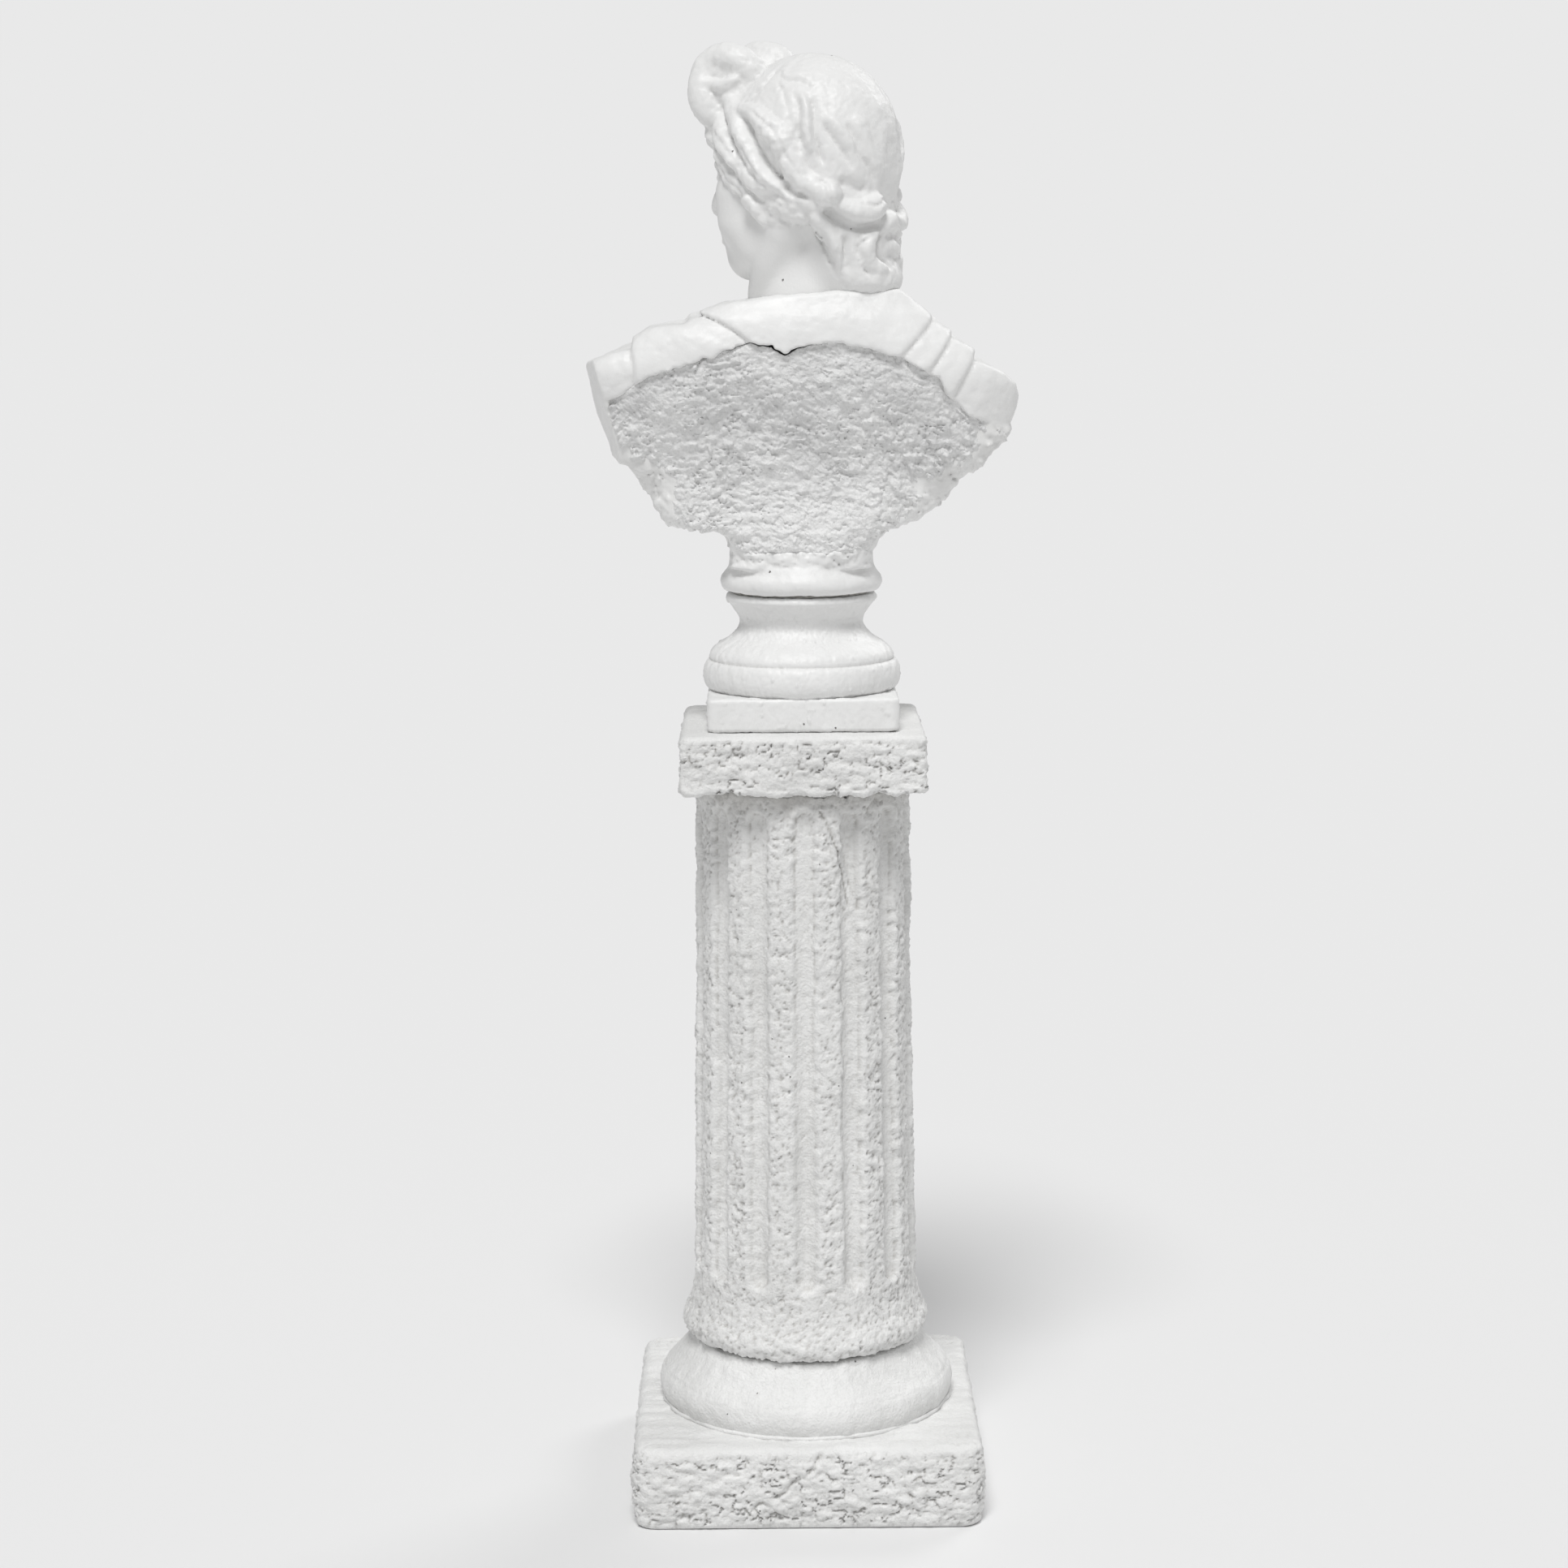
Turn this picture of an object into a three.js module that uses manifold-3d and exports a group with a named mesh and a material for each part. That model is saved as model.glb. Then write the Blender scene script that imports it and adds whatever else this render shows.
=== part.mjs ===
// A cast bust on a fluted column, in millimetres. +Z is up, the origin is the centre of the underside,
// and the chest faces -Y. The column is a stack of castings on one steel rod. The bust stands on a loose
// dowel, so it can be turned on the column and lifted off it.
import * as THREE from "three";
import { mergeVertices } from "three/addons/utils/BufferGeometryUtils.js";
import Module from "manifold-3d";

const wasm = await Module();
wasm.setup();

// ---- Driving dimensions ----
const GAP = 0.3; // between a piece and the one it beds on or is cut by
const ROUND = 40; // segments of a large turned piece
const PIN_SIDES = 24;

const PLINTH = { side: 145, top: 34, corner: 10, edge: 3 };
const MOULDING = { top: 62.3, foot: 60.5 };
const MORTAR = 1.2; // thickness of a mortar or plaster bed
const SHAFT = { top: 298.5, footRadius: 46.8, topRadius: 44.1 };
const FLUTES = { count: 14, radius: 5.2, depth: 2.4, low: 94, high: 289 };
const ABACUS = { side: 100, low: 300, top: 324, corner: 3, edge: 2 };
const ROD = { radius: 4, low: 14, high: 307 };
const DOWEL = { radius: 4, low: 312.4, high: 337 };
const BORE = 0.5; // radial clearance round a rod or dowel

const SOCLE = { side: 77, plinthTop: 337.5, top: 377.2, corner: 3, edge: 1.2 };
const FOOT = { low: 378.4, neck: 29.2, ring: 33.1 };
const BUST_DOWEL = { radius: 4, low: 350, high: 414 };
const SOCKET = { x: -2, low: 490.5, radius: 23 };
const NECK = { foot: 21.5, lift: 492, yaw: THREE.MathUtils.degToRad(60) };
const NECK_DOWEL = { radius: 3, low: 466, high: 516 };
const FILL = { plug: 4, plate: 21 }; // y where the plug and the back plate of the fill begin

// ---- Solids ----
const solidOf = (geometry) => {
  const bare = geometry.clone();
  bare.deleteAttribute("normal");
  bare.deleteAttribute("uv");
  const merged = mergeVertices(bare, 1e-4);
  return new wasm.Manifold(
    new wasm.Mesh({
      numProp: 3,
      vertProperties: merged.attributes.position.array,
      triVerts: new Uint32Array(merged.index.array),
    }),
  );
};

const geometryOf = (solid) => {
  const mesh = solid.getMesh();
  const position = new Float32Array(mesh.numVert * 3);
  for (let i = 0; i < mesh.numVert; i++)
    position.set(mesh.vertProperties.subarray(i * mesh.numProp, i * mesh.numProp + 3), i * 3);
  const geometry = new THREE.BufferGeometry();
  geometry.setAttribute("position", new THREE.BufferAttribute(position, 3));
  geometry.setIndex(new THREE.BufferAttribute(new Uint32Array(mesh.triVerts), 1));
  geometry.computeVertexNormals();
  return geometry;
};

// A profile of [radius, z] pairs, from the axis at the bottom to the axis at the top, turned about Z.
const turned = (profile, segments = ROUND) => {
  const points = profile.map(([r, z]) => new THREE.Vector2(r, z));
  return solidOf(new THREE.LatheGeometry(points, segments).rotateX(Math.PI / 2));
};

const pin = (radius, low, high, sides = PIN_SIDES) =>
  solidOf(
    new THREE.CylinderGeometry(radius, radius, high - low, sides)
      .rotateX(Math.PI / 2)
      .translate(0, 0, (low + high) / 2),
  );

// A hole's flats lie outside its radius, so a pin turns in it without touching.
const bore = (radius, low, high) => pin((radius + BORE) / Math.cos(Math.PI / PIN_SIDES), low, high);

const roundedSquare = (side, corner) => {
  const h = side / 2;
  const shape = new THREE.Shape();
  shape.moveTo(h - corner, -h);
  shape.absarc(h - corner, -h + corner, corner, -Math.PI / 2, 0);
  shape.absarc(h - corner, h - corner, corner, 0, Math.PI / 2);
  shape.absarc(-h + corner, h - corner, corner, Math.PI / 2, Math.PI);
  shape.absarc(-h + corner, -h + corner, corner, Math.PI, 1.5 * Math.PI);
  return shape;
};

// A square slab with rounded corners and eased top and bottom edges.
const slab = (side, low, high, corner, edge) => {
  const options = {
    depth: high - low - 2 * edge,
    bevelEnabled: edge > 0,
    bevelThickness: edge,
    bevelSize: edge,
    bevelOffset: -edge,
    bevelSegments: 2,
    curveSegments: 5,
  };
  return solidOf(
    new THREE.ExtrudeGeometry(roundedSquare(side, corner), options).translate(0, 0, low + edge),
  );
};

const shapeOf = (outline) => new THREE.Shape(outline.map(([a, b]) => new THREE.Vector2(a, b)));
const flat = (outline, depth) =>
  new THREE.ExtrudeGeometry(shapeOf(outline), { depth, bevelEnabled: false });

// An outline of [x, z] pairs carried along Y from one depth to another.
const alongY = (outline, from, to) =>
  solidOf(flat(outline, to - from).rotateX(Math.PI / 2).translate(0, to, 0));

// Moves each corner of an outline outwards by a distance, whichever way round it is drawn.
const grown = (outline, by) => {
  const n = outline.length;
  const area = outline.reduce((sum, [a, b], i) => {
    const [c, d] = outline[(i + 1) % n];
    return sum + a * d - b * c;
  }, 0);
  const side = Math.sign(area);
  return outline.map(([a, b], i) => {
    const [pa, pb] = outline[(i + n - 1) % n];
    const [na, nb] = outline[(i + 1) % n];
    const before = new THREE.Vector2(b - pb, pa - a).normalize();
    const after = new THREE.Vector2(nb - b, a - na).normalize();
    const out = before.add(after).normalize();
    return [a + side * by * out.x, b + side * by * out.y];
  });
};

// A skin over rings of points, from the lowest ring to the highest, closed flat at both ends.
const lofted = (rings) => {
  const around = rings[0].length;
  const middle = (ring) => ring.reduce((sum, p) => sum.add(p), new THREE.Vector3()).divideScalar(around);
  const points = [...rings.flat(), middle(rings[0]), middle(rings.at(-1))];
  const foot = rings.length * around;
  const index = [];
  for (let i = 0; i < around; i++) {
    const next = (i + 1) % around;
    const top = (rings.length - 1) * around;
    index.push(foot, next, i, foot + 1, top + i, top + next);
    for (let level = 0; level < top; level += around) {
      const above = level + around;
      index.push(level + i, level + next, above + next, level + i, above + next, above + i);
    }
  }
  const geometry = new THREE.BufferGeometry().setFromPoints(points);
  return solidOf(geometry.setIndex(index));
};

// ---- Column ----
const quarter = (cx, cz, r, from, to, steps) =>
  Array.from({ length: steps + 1 }, (_, i) => {
    const a = THREE.MathUtils.degToRad(from + ((to - from) * i) / steps);
    return [cx + r * Math.cos(a), cz + r * Math.sin(a)];
  });

const basePlinth = () =>
  slab(PLINTH.side, 0, PLINTH.top, PLINTH.corner, PLINTH.edge).subtract(
    bore(ROD.radius, ROD.low - GAP, PLINTH.top + 1),
  );

// A low torus and a fillet, then a cavetto that sweeps in to the foot of the shaft.
const baseMoulding = () => {
  const low = PLINTH.top + MORTAR;
  const outside = [
    [0, low],
    [MOULDING.foot, low],
    ...quarter(MOULDING.foot - 6, low + 6.2, 7.6, -40, 40, 5),
    [MOULDING.foot - 1, 47.5],
    [MOULDING.foot - 2.2, 48.2],
    ...quarter(MOULDING.foot + 1.5, 62.5, 14.6, 255, 182, 6),
    [0, MOULDING.top],
  ];
  return turned(outside).subtract(bore(ROD.radius, 0, 100));
};

const shaftRadius = (z) =>
  THREE.MathUtils.mapLinear(z, FLUTES.low, SHAFT.top, SHAFT.footRadius, SHAFT.topRadius);

const flute = (index) => {
  const rounds = { low: shaftRadius(FLUTES.low), high: shaftRadius(FLUTES.high) };
  const sink = FLUTES.radius - FLUTES.depth;
  const bar = new THREE.CapsuleGeometry(FLUTES.radius, FLUTES.high - FLUTES.low - 2 * FLUTES.radius, 3, 8);
  bar.rotateX(Math.PI / 2);
  bar.rotateY(-Math.atan((rounds.low - rounds.high) / (FLUTES.high - FLUTES.low)));
  bar.translate((rounds.low + rounds.high) / 2 + sink, 0, (FLUTES.low + FLUTES.high) / 2);
  bar.rotateZ(Math.PI / 2 + (index * 2 * Math.PI) / FLUTES.count);
  return solidOf(bar);
};

const shaft = () => {
  const low = MOULDING.top + MORTAR;
  const outside = [
    [0, low],
    [46.5, low],
    ...quarter(46.2, 68.6, 4.8, -70, 75, 6),
    [47.6, 78],
    [SHAFT.footRadius, 88],
    [SHAFT.topRadius + 0.2, FLUTES.high],
    [SHAFT.topRadius, SHAFT.top],
    [0, SHAFT.top],
  ];
  const plain = turned(outside, 56).subtract(bore(ROD.radius, 0, 400));
  return Array.from({ length: FLUTES.count }, (_, i) => flute(i)).reduce((s, f) => s.subtract(f), plain);
};

const abacus = () =>
  slab(ABACUS.side, ABACUS.low, ABACUS.top, ABACUS.corner, ABACUS.edge)
    .subtract(bore(ROD.radius, ABACUS.low - 1, ROD.high + GAP))
    .subtract(bore(DOWEL.radius, DOWEL.low - GAP, ABACUS.top + 1));

const bed = (radius, low, hole) =>
  pin(radius, low + GAP / 2, low + MORTAR - GAP / 2, ROUND).subtract(bore(hole, low - 1, low + MORTAR + 1));

// ---- Socle and bust ----
const socle = () => {
  const outside = [
    [0, SOCLE.plinthTop - 1],
    [37.6, SOCLE.plinthTop - 1],
    ...quarter(34.6, 344, 5.9, -75, 80, 6),
    [36.6, 350.6],
    [36, 353.6],
    [34.6, 356],
    [28.4, 360.2],
    [25.6, 363.4],
    [25.2, 366.4],
    [26.6, 369.4],
    [28.8, 373.8],
    [30.2, 374.6],
    [30.2, SOCLE.top],
    [0, SOCLE.top],
  ];
  const foot = slab(SOCLE.side, ABACUS.top + GAP, SOCLE.plinthTop, SOCLE.corner, SOCLE.edge);
  return foot
    .add(turned(outside))
    .subtract(bore(DOWEL.radius, 300, DOWEL.high + 2))
    .subtract(bore(BUST_DOWEL.radius, BUST_DOWEL.low - GAP, 400));
};

// Sections through the chest, as [z, reach to its right, to its left, to the front, to the back]. The
// underside steps in to the foot, the arms are cut off near z 456, and the top is the edge of the collar.
const CHEST = [
  [393, 29.5, 29.5, 28.5, 27.5],
  [401, 33, 33.5, 33, 27],
  [405, 41, 51, 37, 26],
  [411, 53, 57.5, 40, 26],
  [424, 64, 65, 43, 26],
  [434, 76, 78.5, 46, 27],
  [444, 83, 82, 48, 29],
  [456, 88, 85.5, 48.5, 31],
  [465, 84, 87.5, 47, 33],
  [472, 73, 86.5, 43, 34.5],
  [479, 68, 74, 38, 35],
  [486, 60, 62, 33, 34],
  [491, 53, 45, 29, 31],
  [496, 46, 27, 26.5, 27],
  [500.5, 40, 24, 25, 24],
];
const CHEST_SQUARENESS = 2.6; // 2 is an ellipse, more is squarer
// Where the rough fill of the back starts, below the drapery, as [x, z].
const ROUGH = [
  [-91, 452], [-70, 455], [-62, 466], [-42, 475.5], [-16, 480], [12, 478.5], [40, 475], [62, 467],
  [74, 461], [91, 463], [91, 426], [60, 398], [26, 396], [-26, 396], [-60, 398], [-91, 432],
];
const PLUG = [
  [-64, 450], [-46, 464], [0, 470], [46, 464], [66, 452], [60, 436], [40, 416], [16, 408],
  [-16, 408], [-40, 416], [-60, 436],
];

const chestRing = ([z, right, left, front, back]) =>
  Array.from({ length: ROUND }, (_, i) => {
    const angle = (i * 2 * Math.PI) / ROUND;
    const [c, s] = [Math.cos(angle), Math.sin(angle)];
    const blunt = (v) => Math.sign(v) * Math.abs(v) ** (2 / CHEST_SQUARENESS);
    return new THREE.Vector3(blunt(c) * (c > 0 ? left : right), blunt(s) * (s > 0 ? back : front), z);
  });

const bustBlank = () => {
  const foot = [
    [0, FOOT.low],
    [31.2, FOOT.low],
    ...quarter(FOOT.ring - 5, 382.4, 5, -50, 60, 5),
    [FOOT.neck, 389.4],
    [FOOT.neck, 394],
    [0, 394],
  ];
  return lofted(CHEST.map(chestRing)).add(turned(foot));
};

const drilled = (solid) =>
  solid
    .subtract(pin(SOCKET.radius, SOCKET.low, 520, ROUND).translate([SOCKET.x, 0, 0]))
    .subtract(bore(NECK_DOWEL.radius, NECK_DOWEL.low - GAP, 520).translate([SOCKET.x, 0, 0]))
    .subtract(bore(BUST_DOWEL.radius, 370, BUST_DOWEL.high + GAP));

const fillZone = (by) =>
  alongY(grown(ROUGH, by), FILL.plate - by, 60).add(alongY(grown(PLUG, by), FILL.plug - by, 60));

const torso = (blank) => drilled(blank).subtract(fillZone(GAP));
const backFill = (blank) =>
  blank.intersect(fillZone(0)).subtract(bore(BUST_DOWEL.radius, 370, BUST_DOWEL.high + GAP));

// The head and neck have a frame of their own: the face looks along -Y and the neck stands on the origin.
const EGG = { centre: [0, -2, 60], radii: [30, 38, 46] };
// Swellings of the egg: the way each one faces, how far it stands out, and how wide it spreads.
const SWELLINGS = [
  { toward: [0, -1, -0.2], out: 7, spread: 0.14 }, // nose
  { toward: [0, -0.8, -0.75], out: 5, spread: 0.3 }, // chin
  { toward: [0, -0.2, -1], out: -8, spread: 0.4 }, // under the jaw
  { toward: [0.28, -0.55, 0.85], out: 8, spread: 0.26 }, // bow of hair above the brow
  { toward: [-0.28, -0.55, 0.85], out: 8, spread: 0.26 },
  { toward: [0.9, -0.5, 0.1], out: 6, spread: 0.4 }, // hair rolled back over the temples
  { toward: [-0.9, -0.5, 0.1], out: 6, spread: 0.4 },
  { toward: [0.4, 0.75, -0.65], out: 7, spread: 0.3 }, // curls at the nape
  { toward: [-0.4, 0.75, -0.65], out: 7, spread: 0.3 },
];

const eggSurface = () => {
  const geometry = new THREE.SphereGeometry(1, 44, 30).rotateX(Math.PI / 2);
  const point = new THREE.Vector3();
  const position = geometry.attributes.position;
  for (let i = 0; i < position.count; i++) {
    point.fromBufferAttribute(position, i);
    const rise = SWELLINGS.reduce((sum, { toward, out, spread }) => {
      const away = new THREE.Vector3(...toward).normalize().distanceTo(point);
      return sum + out * Math.exp(-((away / spread) ** 2));
    }, 0);
    const radii = new THREE.Vector3(...EGG.radii).addScalar(rise);
    position.setXYZ(i, ...point.multiply(radii));
  }
  return geometry.translate(...EGG.centre);
};

const head = () => {
  const neck = new THREE.CylinderGeometry(19, NECK.foot, 46, 28).rotateX(Math.PI / 2).translate(0, 0, 23);
  const hole = bore(NECK_DOWEL.radius, -1, NECK_DOWEL.high - NECK.lift + GAP);
  return solidOf(eggSurface()).add(solidOf(neck)).subtract(hole);
};

// ---- Assembly ----
const paint = (colour, roughness) => new THREE.MeshStandardMaterial({ color: colour, roughness, metalness: 0 });
const castStone = paint(0xdcdcda, 0.6);
const plaster = paint(0xe6e6e4, 0.65);
const mortar = paint(0xc9c8c4, 0.85);
const steel = new THREE.MeshStandardMaterial({ color: 0x8d8f91, roughness: 0.4, metalness: 1 });

const piece = (name, solid, material) => {
  const mesh = new THREE.Mesh(geometryOf(solid), material);
  mesh.name = name;
  return mesh;
};

const column = new THREE.Group();
column.add(
  piece("base_plinth", basePlinth(), castStone),
  piece("plinth_mortar", bed(MOULDING.foot - 3, PLINTH.top, ROD.radius), mortar),
  piece("base_moulding", baseMoulding(), castStone),
  piece("base_mortar", bed(43.5, MOULDING.top, ROD.radius), mortar),
  piece("shaft", shaft(), castStone),
  piece("cap_mortar", bed(SHAFT.topRadius - 3, SHAFT.top + GAP / 2, ROD.radius), mortar),
  piece("abacus", abacus(), castStone),
  piece("column_rod", pin(ROD.radius, ROD.low, ROD.high), steel),
  piece("locating_dowel", pin(DOWEL.radius, DOWEL.low, DOWEL.high), steel),
);

const blank = bustBlank();
const bust = new THREE.Group();
bust.add(
  piece("socle", socle(), plaster),
  piece("socle_plaster", bed(28, SOCLE.top, BUST_DOWEL.radius), mortar),
  piece("bust_dowel", pin(BUST_DOWEL.radius, BUST_DOWEL.low, BUST_DOWEL.high), steel),
  piece("torso", torso(blank), plaster),
  piece("back_fill", backFill(blank), castStone),
);

const headGroup = new THREE.Group();
headGroup.position.set(SOCKET.x, 0, NECK.lift);
headGroup.rotation.z = NECK.yaw;
const neckDowel = pin(NECK_DOWEL.radius, NECK_DOWEL.low - NECK.lift, NECK_DOWEL.high - NECK.lift);
headGroup.add(
  piece("head", head(), plaster),
  piece("neck_plaster", bed(20, SOCKET.low - NECK.lift, NECK_DOWEL.radius), mortar),
  piece("neck_dowel", neckDowel, steel),
);
bust.add(headGroup);

const object = new THREE.Group();
object.add(column, bust);

export default object;
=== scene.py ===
import math

import bpy
import numpy as np
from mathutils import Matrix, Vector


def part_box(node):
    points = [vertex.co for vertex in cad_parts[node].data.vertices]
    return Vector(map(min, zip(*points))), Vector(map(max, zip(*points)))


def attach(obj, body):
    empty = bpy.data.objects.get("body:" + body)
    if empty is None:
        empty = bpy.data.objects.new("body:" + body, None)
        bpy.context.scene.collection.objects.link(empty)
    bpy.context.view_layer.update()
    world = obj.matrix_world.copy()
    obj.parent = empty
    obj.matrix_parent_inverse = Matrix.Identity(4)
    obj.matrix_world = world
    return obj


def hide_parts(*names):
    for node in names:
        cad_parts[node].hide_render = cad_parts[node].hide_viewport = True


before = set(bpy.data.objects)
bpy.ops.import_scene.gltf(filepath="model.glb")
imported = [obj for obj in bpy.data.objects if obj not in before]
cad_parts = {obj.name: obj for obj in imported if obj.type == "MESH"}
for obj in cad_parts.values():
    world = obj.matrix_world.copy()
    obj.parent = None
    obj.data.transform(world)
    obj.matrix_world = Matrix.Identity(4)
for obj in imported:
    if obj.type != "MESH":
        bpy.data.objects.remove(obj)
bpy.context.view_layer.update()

import openvdb
from mathutils import Matrix, Vector

MM = 0.001
FAR = 50.0  # a distance that is surely outside


def low_high(node):
    """A CAD node's lowest and highest z, in millimetres."""
    low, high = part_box(node)
    return low.z / MM, high.z / MM


def half_width(node):
    low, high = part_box(node)
    return (high.x - low.x) / MM / 2


# ---- Noise ----

def scrambled(cell, seed):
    """One repeatable whole number of 32 bits for each lattice cell."""
    x, y, z = (cell[:, i].astype(np.uint32) for i in range(3))
    mixed = x * np.uint32(73856093) ^ y * np.uint32(19349663) ^ z * np.uint32(83492791)
    mixed = mixed ^ np.uint32(seed * 7919 + 101)
    mixed = (mixed ^ (mixed >> np.uint32(15))) * np.uint32(2246822519)
    return (mixed ^ (mixed >> np.uint32(13))) * np.uint32(3266489917)


def lattice(cell, seed):
    """One repeatable random number from 0 to 1 for each lattice cell."""
    return (scrambled(cell, seed) >> np.uint32(8)).astype(np.float32) / np.float32(2**24)


def lattice_seat(cell, seed):
    """A repeatable random place inside each lattice cell."""
    bits = scrambled(cell, seed)
    parts = [(bits >> np.uint32(shift)) & np.uint32(1023) for shift in (2, 12, 22)]
    return np.stack(parts, axis=1).astype(np.float32) / np.float32(1024)


def noise(points, size, seed):
    """Smooth random waves from about -1 to 1. Size is a wave's width, the same or one for each axis."""
    q = points / np.asarray(size, float)
    cell = np.floor(q).astype(np.int64)
    t = q - cell
    fade = t * t * t * (t * (t * 6 - 15) + 10)
    total = np.zeros(len(points))
    for corner in np.ndindex(2, 2, 2):
        share = np.prod(np.where(corner, fade, 1 - fade), axis=1)
        total += share * lattice(cell + corner, seed)
    return (total - 0.5) * 2.6


def domes(points, size, seed):
    """Rounded grains packed side by side: 1 at a grain's crown, falling to 0 in the creases."""
    q = points / np.asarray(size, float)
    cell = np.floor(q).astype(np.int64)
    nearest = np.full(len(points), 9.0)
    for step in np.ndindex(3, 3, 3):
        there = cell + np.array(step) - 1
        seat = there + lattice_seat(there, seed)
        nearest = np.minimum(nearest, ((q - seat) ** 2).sum(axis=1))
    return 1 - np.minimum(nearest, 1)


def layers(points, size, seed, octaves=3):
    """Waves with finer waves on them, each half as high."""
    total = 0
    for octave in range(octaves):
        total = total + noise(points, np.asarray(size) / 2**octave, seed + octave) / 2**octave
    return total


def wobble(points, size=4.0, seed=77):
    """A sideways shake for a drawn line, so that it doesn't run straight."""
    return np.stack([noise(points, size, seed + axis) for axis in range(3)], axis=1)


def line_distance(points, line):
    """How far each point is from a chain of straight lines, and how far along it, from 0 to 1."""
    line = np.asarray(line, float)
    best = np.full(len(points), 1e9)
    along = np.zeros(len(points))
    for i in range(len(line) - 1):
        start, way = line[i], line[i + 1] - line[i]
        t = np.clip((points - start) @ way / (way @ way), 0, 1)
        away = np.linalg.norm(points - start - t[:, None] * way, axis=1)
        along = np.where(away < best, (i + t) / (len(line) - 1), along)
        best = np.minimum(best, away)
    return best, along


def bump_shape(distance, width):
    return np.exp(-((distance / width) ** 2))


def smooth_line(points, steps=6):
    """A smooth curve through the points, with a number of steps between each two."""
    p = np.asarray(points, float)
    p = np.vstack([2 * p[0] - p[1], p, 2 * p[-1] - p[-2]])
    out = []
    for i in range(1, len(p) - 2):
        for t in np.arange(steps) / steps:
            a = 2 * p[i] + (p[i + 1] - p[i - 1]) * t
            b = (2 * p[i - 1] - 5 * p[i] + 4 * p[i + 1] - p[i + 2]) * t * t
            c = (3 * p[i] - p[i - 1] - 3 * p[i + 1] + p[i + 2]) * t**3
            out.append((a + b + c) / 2)
    return np.array(out + [p[-2]])


def spaced(points, step):
    """The same line with its points an even distance apart."""
    p = np.asarray(points, float)
    run = np.concatenate([[0], np.cumsum(np.linalg.norm(np.diff(p, axis=0), axis=1))])
    at = np.linspace(0, run[-1], max(2, round(run[-1] / step) + 1))
    return np.stack([np.interp(at, run, p[:, i]) for i in range(p.shape[1])], axis=1)


# ---- Materials ----

def fill_inputs(tree, node, inputs):
    """Sets a node's inputs. Each is given as a value, or as the output of another node."""
    for name, value in inputs.items():
        if isinstance(value, bpy.types.NodeSocket):
            tree.links.new(value, node.inputs[name])
        else:
            node.inputs[name].default_value = value


def node_of(tree, kind, inputs=None, **settings):
    node = tree.nodes.new(kind)
    for name, value in settings.items():
        setattr(node, name, value)
    fill_inputs(tree, node, inputs or {})
    return node


def own_place(tree):
    """The piece's own coordinates, which are metres."""
    return node_of(tree, "ShaderNodeTexCoord").outputs["Object"]


def mapped_noise(tree, scale, detail=4.0, stretch=(1, 1, 1)):
    mapping = node_of(tree, "ShaderNodeMapping", {"Vector": own_place(tree), "Scale": stretch})
    texture = {"Vector": mapping.outputs["Vector"], "Scale": scale, "Detail": detail}
    return node_of(tree, "ShaderNodeTexNoise", texture).outputs["Fac"]


def ramp(tree, source, stops):
    """Turns a number into a colour through stops of (place, colour)."""
    node = node_of(tree, "ShaderNodeValToRGB", {"Fac": source})
    elements = node.color_ramp.elements
    while len(elements) < len(stops):
        elements.new(0.5)
    for element, (place, colour) in zip(elements, stops):
        element.position = place
        element.color = (*colour, 1)
    return node.outputs["Color"]


def mixed(tree, factor, a, b):
    """Colour a where the factor is 0, and colour b where it is 1."""
    first, second, result = 6, 7, 2  # the node's sockets for colours
    inputs = {"Factor": factor, first: a, second: b}
    return node_of(tree, "ShaderNodeMix", inputs, data_type="RGBA").outputs[result]


def bumped(tree, height, strength, distance, under=None):
    inputs = {"Height": height, "Strength": strength, "Distance": distance}
    if under is not None:
        inputs["Normal"] = under
    return node_of(tree, "ShaderNodeBump", inputs).outputs["Normal"]


def multiplied(tree, a, b):
    return node_of(tree, "ShaderNodeMath", {0: a, 1: b}, operation="MULTIPLY").outputs["Value"]


def solid_colour(tree, colour):
    node = node_of(tree, "ShaderNodeRGB")
    node.outputs[0].default_value = (*colour, 1)
    return node.outputs[0]


def new_material(name):
    """A material, its node tree and its shader."""
    material = bpy.data.materials.new(name)
    material.use_nodes = True
    return material, material.node_tree, material.node_tree.nodes["Principled BSDF"]


def pinholes(tree, scale, share, radius):
    """1 inside scattered air holes with ragged rims, 0 elsewhere."""
    place = own_place(tree)
    ragged = node_of(tree, "ShaderNodeTexNoise", {"Vector": place, "Scale": 900})
    shifted = node_of(tree, "ShaderNodeVectorMath", {0: ragged.outputs["Color"], 1: (MM,) * 3, 2: place},
                      operation="MULTIPLY_ADD")
    cells = node_of(tree, "ShaderNodeTexVoronoi", {"Vector": shifted.outputs["Vector"], "Scale": scale})
    edge = {"Value": cells.outputs["Distance"], "From Min": radius, "From Max": radius * 0.4}
    inside = node_of(tree, "ShaderNodeMapRange", edge, interpolation_type="SMOOTHSTEP")
    split = node_of(tree, "ShaderNodeSeparateColor", {"Color": cells.outputs["Color"]})
    chosen = node_of(tree, "ShaderNodeMath", {0: split.outputs["Red"], 1: share}, operation="LESS_THAN")
    return multiplied(tree, inside.outputs["Result"], chosen.outputs["Value"])


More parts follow.
